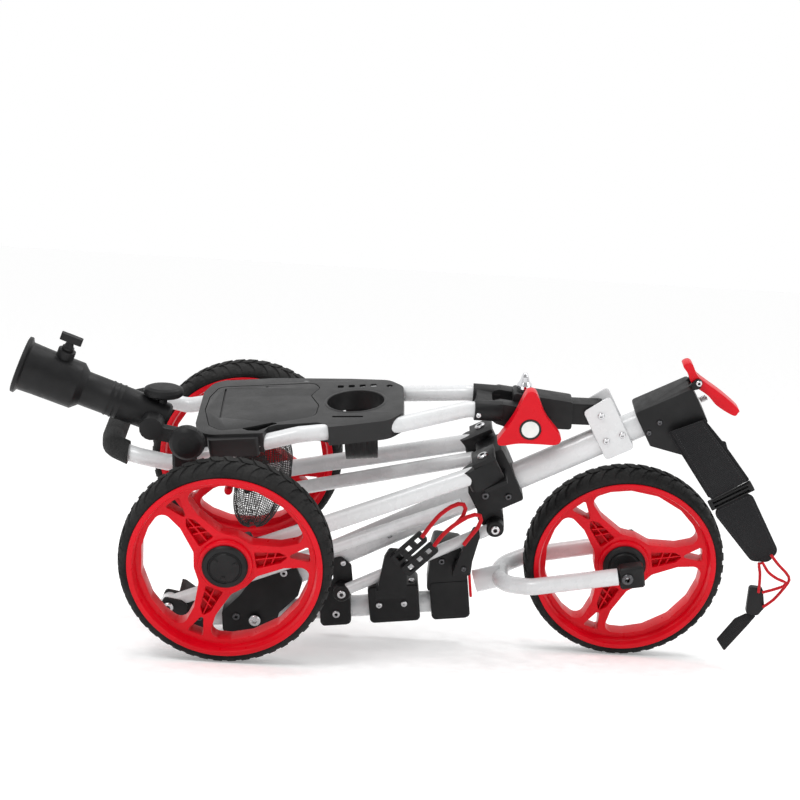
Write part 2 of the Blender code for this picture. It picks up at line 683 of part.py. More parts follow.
def bag_cradle():
    """The front clamp: bag rest above it and its pointed near arm."""
    core = [on_keel(s, h) for s, h in ((0.2620, -0.0195), (0.3190, -0.0195), (0.3190, 0.0420), (0.2620, 0.0420))]
    base = plate("bag_cradle", flat(core), -0.0235, 0.0235, BLACK, corner=0.006, rounding=0.005)
    rest = plate("rest", [(0.2940, 0.0600), (0.3500, 0.0740), (0.3480, 0.1160), (0.3300, 0.1400),
                          (0.2920, 0.1400), (0.2900, 0.1200)], -0.0225, 0.0225, corner=0.005)  # fmt: skip
    point = plate("point", [(0.3230, 0.1050), (0.3500, 0.1110), (0.3490, 0.1340), (0.3530, 0.1740), (0.3500, 0.1850),
                            (0.3420, 0.1850), (0.3300, 0.1420)], -0.0540, -0.0440, corner=0.004)  # fmt: skip
    foot = plate("foot", [(0.3240, 0.1050), (0.3475, 0.1105), (0.3440, 0.1210), (0.3260, 0.1200)], -0.0535, -0.010)
    return cut(join(base, rest, point, foot), keel_clearance())


def bungee_clips():
    """The pair of ladder-like rubber clips on the bracket's leg, joined by a rib."""
    origin, run = Vector((0.2560, 0, 0.1265)), Vector((0.60, 0, 0.80)).normalized()
    side = Vector((-run.z, 0, run.x))
    shapes, holes = [], []
    for offset in (0.0115, -0.0115):
        corners = [origin + run * a + side * (offset + b) for a, b in (
            (-0.018, -0.009), (0.042, -0.009), (0.042, 0.009), (-0.018, 0.009))]  # fmt: skip
        shapes.append(plate("bungee_clips", flat(corners), -0.0655, -0.0575, BLACK, corner=0.003))
        for a in (-0.006, 0.012, 0.030):
            hole = [origin + run * (a + p) + side * (offset + q) for p, q in (
                (-0.005, -0.0045), (0.005, -0.0045), (0.005, 0.0045), (-0.005, 0.0045))]  # fmt: skip
            holes.append(plate("hole", flat(hole), -0.08, -0.05))
    rib = [origin + run * a + side * b for a, b in ((-0.001, -0.006), (0.006, -0.006), (0.006, 0.006),
                                                      (-0.001, 0.006))]  # fmt: skip
    return cut(join(shapes[0], shapes[1], plate("rib", flat(rib), -0.065, -0.058)), *holes)


def lower_bungees():
    """Two elastic loops, each from a clip over the top and back down beside the bag rest."""
    loops = (
        ("lower_bungee_left", [(0.2695, -0.0695, 0.168), (0.277, -0.071, 0.186), (0.289, -0.070, 0.207),
                               (0.3030, -0.067, 0.2205), (0.3125, -0.065, 0.2255), (0.3200, -0.063, 0.2250),
                               (0.3240, -0.062, 0.2185), (0.3225, -0.061, 0.2060), (0.315, -0.060, 0.192)]),
        ("lower_bungee_right", [(0.289, -0.0695, 0.157), (0.297, -0.071, 0.175), (0.311, -0.071, 0.194),
                                (0.328, -0.070, 0.2095), (0.3380, -0.069, 0.2145), (0.3455, -0.0675, 0.2135),
                                (0.3485, -0.067, 0.2065), (0.3460, -0.066, 0.1940), (0.338, -0.065, 0.178),
                                (0.331, -0.064, 0.163)]),
    )  # fmt: skip
    return [cord(name, points, 0.0031, CORD) for name, points in loops]


def fork():
    """The front fork: a bent tube round the wheel, a neck, its end blocks, the lock tab and the axle."""
    y = 0.0555
    corners = [(0.5615, -y, 0.1445), (0.440, -y + 0.002, 0.1065), (0.399, -0.030, 0.094),
               (0.399, 0.030, 0.094), (0.440, y - 0.002, 0.1065), (0.5615, y, 0.1445)]  # fmt: skip
    legs = pipe("fork", corners, 0.0125, WHITE, bend=0.036, sides=4, steps=3)
    neck = rod("neck", on_keel(0.3290, 0.0285), (0.402, 0, 0.0935), 0.0175, half_width=0.0125, sides=20)
    fork_tube = join(legs, neck)
    ends = []
    for name, side in (("fork_end_near", -1), ("fork_end_far", 1)):
        end = block(name, (0.5805, side * 0.0555, 0.1495), (0.036, 0.022, 0.034), BLACK, math.radians(17), 0.003)
        bore = rod("bore", (FRONT_X, side * 0.02, WHEEL_RADIUS), (FRONT_X, side * 0.09, WHEEL_RADIUS),
                   AXLE_RADIUS + GAP)  # fmt: skip
        leg_room = rod("room", (0.540, side * y, 0.1378), (0.5618, side * y, 0.1446), 0.0130)
        ends.append(cut(end, bore, leg_room))
    tab = [on_keel(s, h) for s, h in ((0.3198, 0.012), (0.3240, 0.012), (0.3240, 0.056), (0.3198, 0.056))]
    lock = plate("fork_lock_tab", flat(tab), -0.020, 0.020, RED, corner=0.002)
    axle = rod("front_axle", (FRONT_X, -0.063, WHEEL_RADIUS), (FRONT_X, 0.063, WHEEL_RADIUS), AXLE_RADIUS, STEEL)
    return fork_tube, *ends, lock, axle


def strut_runner():
    """The block that slides under the main tube, with the bolt that carries the strut's top end."""
    outline = [on_tube(s, h) for s, h in (
        (0.300, -0.0262), (0.338, -0.0262), (0.337, -0.040), (0.330, -0.058), (0.312, -0.058),
        (0.303, -0.040))]  # fmt: skip
    shoe = plate("strut_runner", flat(outline), -0.0225, 0.0175, BLACK, corner=0.003)
    top = STRUT_TOP
    bolt = rod("bolt", (top.x, -0.0445, top.z), (top.x, 0.010, top.z), 0.004)
    return join(shoe, bolt)


def fold_strut():
    y = Vector((0, 0.0085, 0))
    tube = rod("fold_strut", STRUT_TOP, STRUT_LOW, STRUT_RADIUS, WHITE)
    eyes = [rod("eye", p - y, p + y, 0.0105) for p in (STRUT_TOP, STRUT_LOW)]
    bores = [rod("bore", p - 2 * y, p + 2 * y, 0.0044) for p in (STRUT_TOP, STRUT_LOW)]
    return cut(join(tube, *eyes), *bores)


# ---- Handle -------------------------------------------------------------------------------------------------
HANDLE_SIDE = [(0.330, 0.0316, 0.3600), (0.304, 0.032, 0.3585), (0.212, 0.060, 0.3310), (0.072, 0.090, 0.3050),
               (-0.096, 0.110, 0.2425),
               (-0.150, 0.112, 0.2475), (-0.180, 0.086, 0.245), (-0.187, 0.030, 0.234)]  # fmt: skip


def handle_path(first=0):
    """The near side from its front end back, across the grip, and forward along the far side."""
    far = [Vector(p) for p in HANDLE_SIDE[first:]]
    return [mirrored(p) for p in far] + far[::-1]


def handle_clearance(extra=GAP):
    return pipe("clearance", handle_path(), HANDLE_RADIUS + extra, bend=0.035, sides=3, steps=2)


def handle_loop():
    return pipe("handle_loop", handle_path(), HANDLE_RADIUS, WHITE, bend=0.035, sides=3, steps=2)


GRIP_END = -0.157


def handle_grip():
    start = Vector((-0.140, 0.1117, 0.2478))
    inner = [mirrored(start), *handle_path(5), start]
    sleeve = pipe("handle_grip", inner, 0.0160, GRIP, bend=0.035, sides=3, steps=2)
    ends = block("ends", (GRIP_END + 0.020, 0, 0.250), (0.040, 0.300, 0.060))
    return cut(sleeve, handle_clearance(), ends)


def handle_yoke():
    """Two coupler sleeves on the handle tubes, joined by a bridge, with cheeks that pivot on the stem."""
    shapes = []
    for side in (-1, 1):
        low, high = sorted((side * 0.0182, side * 0.040))
        shapes.append(rod("handle_yoke" if side < 0 else "coupler", (0.313, side * 0.0325, 0.3588),
                          (0.352, side * 0.031, 0.3625), 0.0148, BLACK if side < 0 else None))  # fmt: skip
        cheek = [(0.338, 0.376), (0.395, 0.3755), (0.4135, 0.364), (0.4135, 0.348), (0.395, 0.3365),
                 (0.338, 0.347)]  # fmt: skip
        shapes.append(plate("cheek", cheek, low, high, corner=0.010))
    shapes.append(block("bridge", (0.3270, 0, 0.3610), (0.022, 0.060, 0.018)))
    y = Vector((0, 0.06, 0))
    bore = rod("bore", HANDLE_PIVOT - y, HANDLE_PIVOT + y, 0.0054)
    return cut(join(*shapes), bore, handle_clearance())


def console_frame():
    turn = Matrix.Rotation(-CONSOLE_SLOPE, 4, "Y")
    return Matrix.Translation(CONSOLE_ORIGIN) @ turn


def both_sides(half):
    """An outline from its +V half."""
    return list(half) + [(u, -v) for u, v in reversed(half)]


LID_OUTLINE = [(0.022, LID_HINGE_V), (0.162, LID_HINGE_V), (0.170, 0.060), (0.158, 0.030), (0.171, -0.010),
               (0.168, -0.050), (0.140, -0.061), (0.106, -0.070), (0.074, -0.084), (0.038, -0.091),
               (0.020, -0.070), (0.009, -0.010), (0.011, 0.040)]  # fmt: skip


def grown(outline, amount):
    centre = Vector((0.09, 0))
    moved = []
    for point in outline:
        spoke = Vector(point) - centre
        moved.append(centre + spoke * (1 + amount / spoke.length))
    return moved


def console():
    frame = console_frame()
    half = [(0.000, 0.062), (0.014, 0.106), (0.105, 0.108), (0.215, 0.092), (0.272, 0.080), (0.2925, 0.052)]
    cup = [polar(CUP_HOLE[1], a) + Vector((CUP_HOLE[0], 0)) for a in range(0, 360, 15)]
    outline = filleted(both_sides(half), 0.026, steps=3)
    tray = slab("console_tray", [outline, cup], -CONSOLE_THICK, 0, frame, BLACK)
    tray = rounded(tray, 0.003)
    skirts = []
    for side in (-1, 1):
        edge = filleted([(0.016, side * 0.090), (0.092, side * 0.088), (0.092, side * 0.1165),
                         (0.024, side * 0.1180)], 0.006)  # fmt: skip
        skirts.append(rounded(slab("skirt", [edge], -0.041, -0.004, frame), 0.003))
    lid_outline = filleted(LID_OUTLINE, 0.014)
    recess = slab("recess", [grown(lid_outline, 0.0006)], -0.0046, 0.01, frame)
    pocket = slab("pocket", [grown(lid_outline, -0.012)], -0.022, 0.01, frame)
    notch = slab("notch", [filleted([(0.104, -0.086), (0.116, -0.079), (0.172, -0.0765), (0.186, -0.084),
                                     (0.194, -0.130), (0.092, -0.130)], 0.006)], -0.05, 0.01, frame)  # fmt: skip
    tray = cut(join(tray, *skirts), recess, pocket, notch, handle_clearance())
    lid = slab("console_lid", [lid_outline], -0.0042, 0, frame, BLACK)
    return tray, lid


def cup_band():
    """The soft strap that hangs in a U under the cup hole."""
    outer, inner = [], []
    for step in range(13):
        angle = math.radians(180 + 15 * step)
        outer.append((0.0435 * math.cos(angle), 0.0435 * math.sin(angle)))
        inner.append((0.0415 * math.cos(angle), 0.0415 * math.sin(angle)))
    top = CONSOLE_THICK / 2
    outline = [(-0.0435, top), *outer, (0.0435, top), (0.0415, top), *inner[::-1], (-0.0415, top)]
    frame = console_frame() @ Matrix.Translation((CUP_HOLE[0] + 0.005, 0, -CONSOLE_THICK - top - 0.0005))
    upright = Matrix.Rotation(math.radians(90), 4, "Z") @ Matrix.Rotation(math.radians(90), 4, "X")
    return slab("cup_holder_band", [outline], -0.0225, 0.0225, frame @ upright, BLACK)


def accessory_bag():
    """A netting bag under the console, narrower at its foot."""
    outline = [(-0.020, 0.261), (0.070, 0.279), (0.076, 0.200), (0.070, 0.128), (0.052, 0.112),
               (0.006, 0.110), (-0.008, 0.130), (-0.018, 0.200)]  # fmt: skip
    return plate("accessory_bag", outline, -0.042, 0.042, MESH, corner=0.012, rounding=0.010)


def umbrella_clamp():
    core = block("umbrella_clamp", (-0.0795, -0.1095, 0.2650), (0.034, 0.031, 0.058), BLACK, math.radians(8),
                 0.004)  # fmt: skip
    arm_block = block("arm", (-0.108, -0.104, 0.2830), (0.056, 0.015, 0.020), slope=math.radians(-4))
    boss = rod("boss", (-0.130, -0.112, HOLDER_PIVOT.z), (-0.130, -0.0855, HOLDER_PIVOT.z), 0.0165)
    pin = rod("pin", (-0.130, -0.100, HOLDER_PIVOT.z), (-0.130, -0.063, HOLDER_PIVOT.z), 0.005)
    post = rod("post", (WHEEL_PLACE.x, -0.120, WHEEL_PLACE.z), (WHEEL_PLACE.x, -0.1335, WHEEL_PLACE.z), 0.006)
    return cut(join(core, arm_block, boss, pin, post), handle_clearance())


def umbrella_wheel():
    """The clamp's round hand wheel, on the near side."""
    matrix = Matrix.Translation(WHEEL_PLACE) @ SIDE_ON
    profile = [(0, 0.1485), (0.018, 0.1485), (0.0250, 0.1450), (0.0250, 0.1305), (0.020, 0.1265),
               (0.0064, 0.1265), (0.0064, 0.1340), (0, 0.1340)]  # fmt: skip
    return turned("umbrella_clamp_wheel", profile, matrix, BLACK, steps=20, closed=False)


def umbrella_holder():
    axis = -along(-HOLDER_SLOPE)
    low = HOLDER_PIVOT - axis * 0.019
    matrix = Matrix.Translation(low) @ axis.to_track_quat("Z", "Y").to_matrix().to_4x4()
    length = HOLDER_LENGTH + 0.019
    profile = [(0.0365, length), (0.041, length - 0.002), (0.041, length - 0.006), (0.0345, length - 0.008),
               (0.0335, length - 0.085), (0.0245, length - 0.094), (0.0235, 0.004), (0.020, 0.0), (0, 0.0)]  # fmt: skip
    bore = [(0, 0.050), (0.0180, 0.050), (0.0200, length - 0.096), (0.0300, length - 0.086), (0.0315, length)]
    holder = turned("umbrella_holder", bore + profile, matrix, BLACK, steps=24, closed=False)
    y = Vector((0, 0.05, 0))
    pivot_bore = rod("bore", HOLDER_PIVOT - y, HOLDER_PIVOT + Vector((0, 0.004, 0)), 0.0054)
    head = matrix @ Vector((0, 0, length - 0.055))
    up = across(-HOLDER_SLOPE)
    boss = rod("boss", head + up * 0.0325, head + up * 0.0445, 0.0125, sides=16)
    screw_bore = rod("bore", head + up * 0.020, head + up * 0.060, 0.0044, sides=16)
    holder = cut(join(holder, boss), pivot_bore, screw_bore)
    stem_end, grip_end = head + up * 0.0455, head + up * 0.0600
    screw = rod("umbrella_knob", head + up * 0.024, grip_end, 0.004, BLACK, sides=16)
    bar = block("bar", grip_end + up * 0.003, (0.030, 0.009, 0.009), slope=-HOLDER_SLOPE, rounding=0.002)
    collar = rod("collar", stem_end, stem_end + up * 0.004, 0.0085, sides=16)
    return holder, join(screw, bar, collar), head


# ---- Assembly -----------------------------------------------------------------------------------------------
def assemble():
    body("main_frame", Vector((0, 0, 0)))
    body("front_leg", FOLD_PIVOT, "main_frame")
    body("front_wheel", Vector((FRONT_X, 0, WHEEL_RADIUS)), "front_leg")
    body("strut_runner", STRUT_TOP, "main_frame")
    body("fold_strut", STRUT_TOP, "strut_runner")
    body("handle", HANDLE_PIVOT, "main_frame")
    body("clamp_knob", HANDLE_PIVOT, "main_frame")
    body("release_trigger", TRIGGER_PIVOT, "main_frame")
    lid_hinge = console_frame() @ Vector((0.09, LID_HINGE_V, 0.0004))
    body("console_lid", lid_hinge, "handle")
    body("umbrella_holder", HOLDER_PIVOT, "handle")
    body("umbrella_clamp_wheel", WHEEL_PLACE + Vector((0, -0.137, 0)), "handle")

    y = Vector((0, 0.0285, 0))
    hinge_bolt = rod("main_hinge_bolt", FOLD_PIVOT - y, FOLD_PIVOT + y, 0.005, STEEL)
    assign("main_frame", main_tube(), mid_bracket(), main_hinge_bracket(), hinge_bolt, *rear_triangle(),
           handle_mount_bracket(), *stem(), upper_bag_sleeve(), trigger_spring(), *bag_strap())  # fmt: skip
    assign("front_leg", keel_tube(), keel_clamp(), bag_bracket(), bag_cradle(), bungee_clips(), *lower_bungees(),
           *fork())  # fmt: skip
    assign("front_wheel", *wheel("front", Vector((FRONT_X, 0, WHEEL_RADIUS)), -1, AXLE_RADIUS + RUNNING))
    assign("strut_runner", strut_runner())
    assign("fold_strut", fold_strut())
    assign("handle", handle_loop(), handle_grip(), handle_yoke(), cup_band(), accessory_bag(), umbrella_clamp())
    assign("umbrella_clamp_wheel", umbrella_wheel())
    assign("clamp_knob", clamp_knob())
    assign("release_trigger", release_trigger())
    tray, lid = console()
    assign("handle", tray)
    assign("console_lid", lid)
    holder, knob, head = umbrella_holder()
    assign("umbrella_holder", holder)
    body("umbrella_knob", head, "umbrella_holder")
    assign("umbrella_knob", knob)
    for where, side in (("near", -1), ("far", 1)):
        pivot = ARM_PIVOT if side < 0 else mirrored(ARM_PIVOT)
        end = CARRIER_PIVOT if side < 0 else mirrored(CARRIER_PIVOT)
        body("rear_arm_" + where, pivot, "main_frame")
        body("carrier_" + where, end, "rear_arm_" + where)
        hub = Vector((0, side * HALF_TRACK, WHEEL_RADIUS))
        body("rear_wheel_" + where, hub, "carrier_" + where)
        assign("rear_arm_" + where, arm("rear_arm_" + where, pivot, end))
        assign("carrier_" + where, carrier("wheel_carrier_" + where, end, side))
        assign("rear_wheel_" + where, *wheel("rear_" + where, hub, side))


    assign("rear_arm_far", far_stay())


def rest_matrix():
    """From the trolley's own frame to the ground it rests on."""
    lean = Matrix.Rotation(REST_PITCH, 4, "Y") @ Matrix.Rotation(REST_ROLL, 4, "X")
    return Matrix.Translation(REST_PLACE) @ lean


assemble()
BODIES["main_frame"].matrix_world = rest_matrix()
bpy.context.view_layer.update()
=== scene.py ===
"""Looks of the folded golf push trolley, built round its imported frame.

The pieces are laid out in the trolley's own frame, as the CAD's are: X forward to the front wheel, Y to the
far side, Z up from the wheels' bottoms. REST then leans them as the trolley rests on the ground.
"""

import math

import bmesh
import bpy
from mathutils import Matrix, Vector


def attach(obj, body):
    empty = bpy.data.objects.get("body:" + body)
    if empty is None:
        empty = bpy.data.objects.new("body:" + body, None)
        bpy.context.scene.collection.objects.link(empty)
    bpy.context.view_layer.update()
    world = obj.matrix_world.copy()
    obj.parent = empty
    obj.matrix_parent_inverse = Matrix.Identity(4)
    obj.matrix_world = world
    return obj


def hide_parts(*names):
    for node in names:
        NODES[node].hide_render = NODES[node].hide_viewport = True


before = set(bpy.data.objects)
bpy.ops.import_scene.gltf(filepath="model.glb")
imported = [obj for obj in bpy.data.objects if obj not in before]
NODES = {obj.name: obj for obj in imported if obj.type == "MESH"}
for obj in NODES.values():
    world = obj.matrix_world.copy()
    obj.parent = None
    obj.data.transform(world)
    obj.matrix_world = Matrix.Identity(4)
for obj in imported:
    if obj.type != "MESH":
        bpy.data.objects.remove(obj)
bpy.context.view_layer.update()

REST_ROLL = math.radians(16.612)
REST_PITCH = math.radians(5.462)
REST_PLACE = Vector((-0.24623, 0.04217, 0.06031))
REST = (
    Matrix.Translation(REST_PLACE)
    @ Matrix.Rotation(REST_PITCH, 4, "Y")
    @ Matrix.Rotation(REST_ROLL, 4, "X")
)

TUBE_SLOPE = math.radians(34.5)
TUBE_LOW = Vector((0.084, 0, 0.041))
KEEL_SLOPE = math.radians(13.2)
FOLD_PIVOT = Vector((0.050, 0, -0.026))
WHEEL_RADIUS = 0.1475
HALF_TRACK = 0.192
FRONT_X = 0.574
SPOKE_ANGLES = (16, 136, 256)


# ---- Camera --------------------------------------------------------------------------------------
CAMERA_PLACE = (0.0608, -2.573, 1.3316)
CAMERA_RIGHT = (0.9872, 0.0044, 0.1592)
CAMERA_UP = (-0.15, 0.3618, 0.9202)
CAMERA_LENS = 86.72
CAMERA_SENSOR = 36


def camera():
    data = bpy.data.cameras.new("camera")
    data.lens = CAMERA_LENS
    data.sensor_width = CAMERA_SENSOR
    cam = bpy.data.objects.new("camera", data)
    bpy.context.scene.collection.objects.link(cam)
    right, up = Vector(CAMERA_RIGHT), Vector(CAMERA_UP)
    right.normalize()
    back = right.cross(up).normalized()
    up = back.cross(right)
    turn = Matrix((right, up, back)).transposed().to_4x4()
    cam.matrix_world = REST @ Matrix.Translation(CAMERA_PLACE) @ turn
    bpy.context.scene.camera = cam


camera()


# ---- Materials -----------------------------------------------------------------------------------
class Nodes:
    """A material's node tree, with short ways to add nodes to it."""

    def __init__(self, name, colour, roughness, metallic=0.0, coat=0.0, sheen=0.0):
        self.material = bpy.data.materials.new(name)
        self.material.use_nodes = True
        self.tree = self.material.node_tree
        self.shader = self.tree.nodes["Principled BSDF"]
        self.set("Base Color", (*colour, 1))
        self.set("Roughness", roughness)
        self.set("Metallic", metallic)
        self.set("Coat Weight", coat)
        self.set("Sheen Weight", sheen)
        self.coords = self.add("ShaderNodeTexCoord").outputs["Object"]

    def set(self, socket, value):
        self.shader.inputs[socket].default_value = value

    def add(self, kind, **inputs):
        node = self.tree.nodes.new(kind)
        for key, value in inputs.items():
            node.inputs[key.replace("_", " ")].default_value = value
        return node

    def link(self, out, into):
        self.tree.links.new(out, into)

    def noise(self, scale, detail=3.0, roughness=0.55, stretch=None):
        node = self.add("ShaderNodeTexNoise", Scale=scale, Detail=detail, Roughness=roughness)
        self.link(self.mapped(stretch) if stretch else self.coords, node.inputs["Vector"])
        return node.outputs["Fac"]

    def mapped(self, scale, turn=(0, 0, 0)):
        node = self.add("ShaderNodeMapping", Scale=scale, Rotation=turn)
        self.link(self.coords, node.inputs["Vector"])
        return node.outputs["Vector"]

    def ramp(self, value, low, high, first, second):
        """Maps value from low..high to first..second."""
        node = self.add("ShaderNodeMapRange")
        self.link(value, node.inputs["Value"])
        for i, number in enumerate((low, high, first, second)):
            node.inputs[i + 1].default_value = number
        return node.outputs["Result"]

    def mix(self, factor, first, second):
        node = self.tree.nodes.new("ShaderNodeMix")
        node.data_type = "RGBA"
        self.link(factor, node.inputs["Factor"])
        node.inputs["A"].default_value = (*first, 1)
        node.inputs["B"].default_value = (*second, 1)
        return node.outputs["Result"]

    def colour(self, factor, first, second):
        self.link(self.mix(factor, first, second), self.shader.inputs["Base Color"])

    def rough(self, value, low, high, first, second):
        self.link(self.ramp(value, low, high, first, second), self.shader.inputs["Roughness"])

    def bump(self, height, distance):
        node = self.add("ShaderNodeBump", Strength=1.0, Distance=distance)
        self.link(height, node.inputs["Height"])
        self.link(node.outputs["Normal"], self.shader.inputs["Normal"])

    def tones(self, scale, detail, low, high, first, second):
        """Two close colours mixed by soft noise."""
        self.colour(self.ramp(self.noise(scale, detail), low, high, 0, 1), first, second)

    def uneven(self, scale, detail, first, second):
        """Roughness that wanders between two values."""
        self.rough(self.noise(scale, detail), 0.3, 0.7, first, second)

    def grain(self, scale, detail, distance):
        self.bump(self.noise(scale, detail), distance)

    def wave(self, scale, direction="X", turn=(0, 0, 0), distortion=0.0):
        node = self.add("ShaderNodeTexWave", Scale=scale, Distortion=distortion)
        node.bands_direction = direction
        self.link(self.mapped((1, 1, 1), turn), node.inputs["Vector"])
        return node.outputs["Fac"]

    def math(self, how, a, b):
        node = self.tree.nodes.new("ShaderNodeMath")
        node.operation = how
        for i, value in enumerate((a, b)):
            if isinstance(value, (int, float)):
                node.inputs[i].default_value = value
            else:
                self.link(value, node.inputs[i])
        return node.outputs["Value"]


def painted_white():
    m = Nodes("white_paint", (0.70, 0.71, 0.72), 0.26, coat=0.30)
    m.set("Coat Roughness", 0.12)
    m.tones(9, 4, 0.35, 0.7, (0.71, 0.72, 0.73), (0.66, 0.665, 0.67))
    m.uneven(60, 4, 0.20, 0.34)
    m.grain(420, 2, 0.00006)
    return m.material


def moulded_red():
    m = Nodes("red_plastic", (0.66, 0.0005, 0.010), 0.30, coat=0.10)
    m.set("Coat Roughness", 0.25)
    m.set("Specular IOR Level", 0.16)
    m.tones(14, 5, 0.3, 0.72, (0.70, 0.0005, 0.011), (0.56, 0.0005, 0.008))
    m.uneven(90, 4, 0.26, 0.40)
    m.grain(900, 2, 0.00005)
    return m.material


def moulded_black():
    m = Nodes("black_plastic", (0.007, 0.007, 0.0075), 0.42)
    m.set("Specular IOR Level", 0.24)
    m.tones(25, 5, 0.35, 0.7, (0.006, 0.006, 0.0065), (0.012, 0.012, 0.0125))
    m.uneven(70, 5, 0.36, 0.54)
    m.grain(1500, 3, 0.00010)
    return m.material


def satin_black():
    m = Nodes("console_plastic", (0.012, 0.012, 0.013), 0.4)
    m.set("Specular IOR Level", 0.28)
    m.tones(6, 3, 0.35, 0.7, (0.011, 0.011, 0.0115), (0.017, 0.017, 0.0175))
    m.uneven(45, 4, 0.34, 0.44)
    cells = m.add("ShaderNodeTexVoronoi", Scale=1300)
    m.link(m.coords, cells.inputs["Vector"])
    m.bump(cells.outputs["Distance"], 0.00012)
    return m.material


def tyre_foam():
    m = Nodes("tyre_foam", (0.010, 0.010, 0.010), 0.8)
    m.set("Specular IOR Level", 0.20)
    m.tones(30, 6, 0.35, 0.75, (0.008, 0.008, 0.008), (0.022, 0.0215, 0.021))
    m.uneven(200, 3, 0.62, 0.86)
    m.grain(1100, 4, 0.00030)
    return m.material


def grip_foam():
    m = Nodes("grip_rubber", (0.010, 0.010, 0.010), 0.75)
    m.set("Specular IOR Level", 0.20)
    cells = m.add("ShaderNodeTexVoronoi", Scale=420)
    m.link(m.coords, cells.inputs["Vector"])
    m.colour(m.ramp(cells.outputs["Distance"], 0.0, 0.6, 0, 1), (0.006, 0.006, 0.006), (0.020, 0.020,
                                                                                        0.020))
    m.bump(cells.outputs["Distance"], 0.0006)
    return m.material


def webbing():
    m = Nodes("webbing", (0.010, 0.010, 0.011), 0.75, sheen=0.12)
    m.set("Specular IOR Level", 0.20)
    slope = math.radians(42)
    warp = m.wave(190, "X", (0, slope, 0))
    weft = m.wave(330, "Z", (0, slope, 0))
    weave = m.math("MULTIPLY", warp, weft)
    m.colour(weave, (0.004, 0.004, 0.005), (0.020, 0.020, 0.022))
    m.bump(weave, 0.0005)
    return m.material


def braided_red():
    m = Nodes("bungee_braid", (0.55, 0.002, 0.010), 0.55, sheen=0.06)
    m.set("Specular IOR Level", 0.25)
    one = m.wave(260, "X", (0, math.radians(30), math.radians(35)))
    two = m.wave(260, "Z", (0, math.radians(30), math.radians(-35)))
    braid = m.math("MAXIMUM", one, two)
    m.colour(braid, (0.24, 0.0005, 0.003), (0.66, 0.002, 0.012))
    m.bump(braid, 0.0004)
    return m.material


def net_black():
    m = Nodes("net_cord", (0.015, 0.015, 0.015), 0.8, sheen=0.2)
    twist = m.wave(500, "DIAGONAL")
    m.colour(twist, (0.008, 0.008, 0.008), (0.03, 0.03, 0.03))
    m.bump(twist, 0.0002)
    return m.material


def steel(name="steel", colour=(0.62, 0.62, 0.63), roughness=0.26):
    m = Nodes(name, colour, roughness, metallic=1.0)
    m.rough(m.noise(300, 3, stretch=(1, 8, 1)), 0.3, 0.7, roughness * 0.7, roughness * 1.4)
    m.bump(m.noise(700, 2, stretch=(1, 10, 1)), 0.00004)
    return m.material


def plain(name, colour, roughness, grain=0.00004):
    m = Nodes(name, colour, roughness)
    darker = tuple(c * 0.86 for c in colour)
    m.tones(40, 4, 0.35, 0.7, colour, darker)
    m.grain(800, 2, grain)
    return m.material


WHITE, RED, BLACK = painted_white(), moulded_red(), moulded_black()
CONSOLE, FOAM, GRIP = satin_black(), tyre_foam(), grip_foam()
WEB, BRAID, NET = webbing(), braided_red(), net_black()
STEEL = steel()
CHROME = steel("chrome", (0.75, 0.75, 0.77), 0.10)
DARK_STEEL = steel("blackened_screw", (0.10, 0.10, 0.105), 0.34)
LABEL = plain("label_white", (0.82, 0.82, 0.80), 0.4)
# painted shadow: a near-black material for dark rings drawn in recesses where there is only shade
PAINTED_SHADOW = plain("shadow_black", (0.008, 0.008, 0.008), 0.7)


# ---- Places --------------------------------------------------------------------------------------
def along(slope):
    return Vector((math.cos(slope), 0, math.sin(slope)))


def across(slope):
    return Vector((-math.sin(slope), 0, math.cos(slope)))


def on_tube(s, h, y=0.0):
    return TUBE_LOW + along(TUBE_SLOPE) * s + across(TUBE_SLOPE) * h + Vector((0, y, 0))


def on_keel(s, h, y=0.0):
    return FOLD_PIVOT + along(KEEL_SLOPE) * s + across(KEEL_SLOPE) * h + Vector((0, y, 0))


def mirrored(point):
    return Vector((point[0], -point[1], point[2]))


def polar(radius, degrees):
    return Vector((radius * math.cos(math.radians(degrees)), radius * math.sin(math.radians(degrees))))


def filleted(corners, radius, steps=6, closed=True):
    """The outline through the corners, each corner rounded as far as its two sides allow."""
    corners = [Vector(c) for c in corners]
    count = len(corners)
    points = []
    for i, corner in enumerate(corners):
        if not closed and i in (0, count - 1):
            points.append(corner)
            continue
        before = corners[i - 1] - corner
        after = corners[(i + 1) % count] - corner
        angle = before.angle(after)
        reach = min(radius / math.tan(angle / 2), 0.48 * before.length, 0.48 * after.length)
        real_radius = reach * math.tan(angle / 2)
        middle = (before.normalized() + after.normalized()).normalized()
        centre = corner + middle * (real_radius / math.sin(angle / 2))
        start = corner + before.normalized() * reach - centre
        end = corner + after.normalized() * reach - centre
        for step in range(steps + 1):
            spoke = start.lerp(end, step / steps)
            points.append(centre + spoke.normalized() * real_radius)
    return points


def curve_point(before, start, end, after, t):
    """The point at share t from start to end of a smooth curve that passes through all four."""
    return 0.5 * (
        2 * start
        + (end - before) * t
        + (2 * before - 5 * start + 4 * end - after) * t**2
        + (3 * start - before - 3 * end + after) * t**3
    )


def smooth_path(points, spacing):
    """An open smooth curve through the points, with a point about every spacing metres."""
    points = [Vector(p) for p in points]
    ends = [points[0] * 2 - points[1]] + points + [points[-1] * 2 - points[-2]]
    path = [points[0]]
    for i in range(1, len(ends) - 2):
        before, start, end, after = ends[i - 1 : i + 3]
        count = max(1, round((end - start).length / spacing))
        for step in range(1, count + 1):
            t = step / count
            path.append(curve_point(before, start, end, after, t))
    return path


def smooth_ring(points, steps=6):
    """A closed smooth curve through flat points."""
    points = [Vector(p) for p in points]
    count = len(points)
    ring = []
    for i in range(count):
        before, start, end, after = (points[(i + k) % count] for k in (-1, 0, 1, 2))
        for step in range(steps):
            t = step / steps
            ring.append(curve_point(before, start, end, after, t))
    return ring


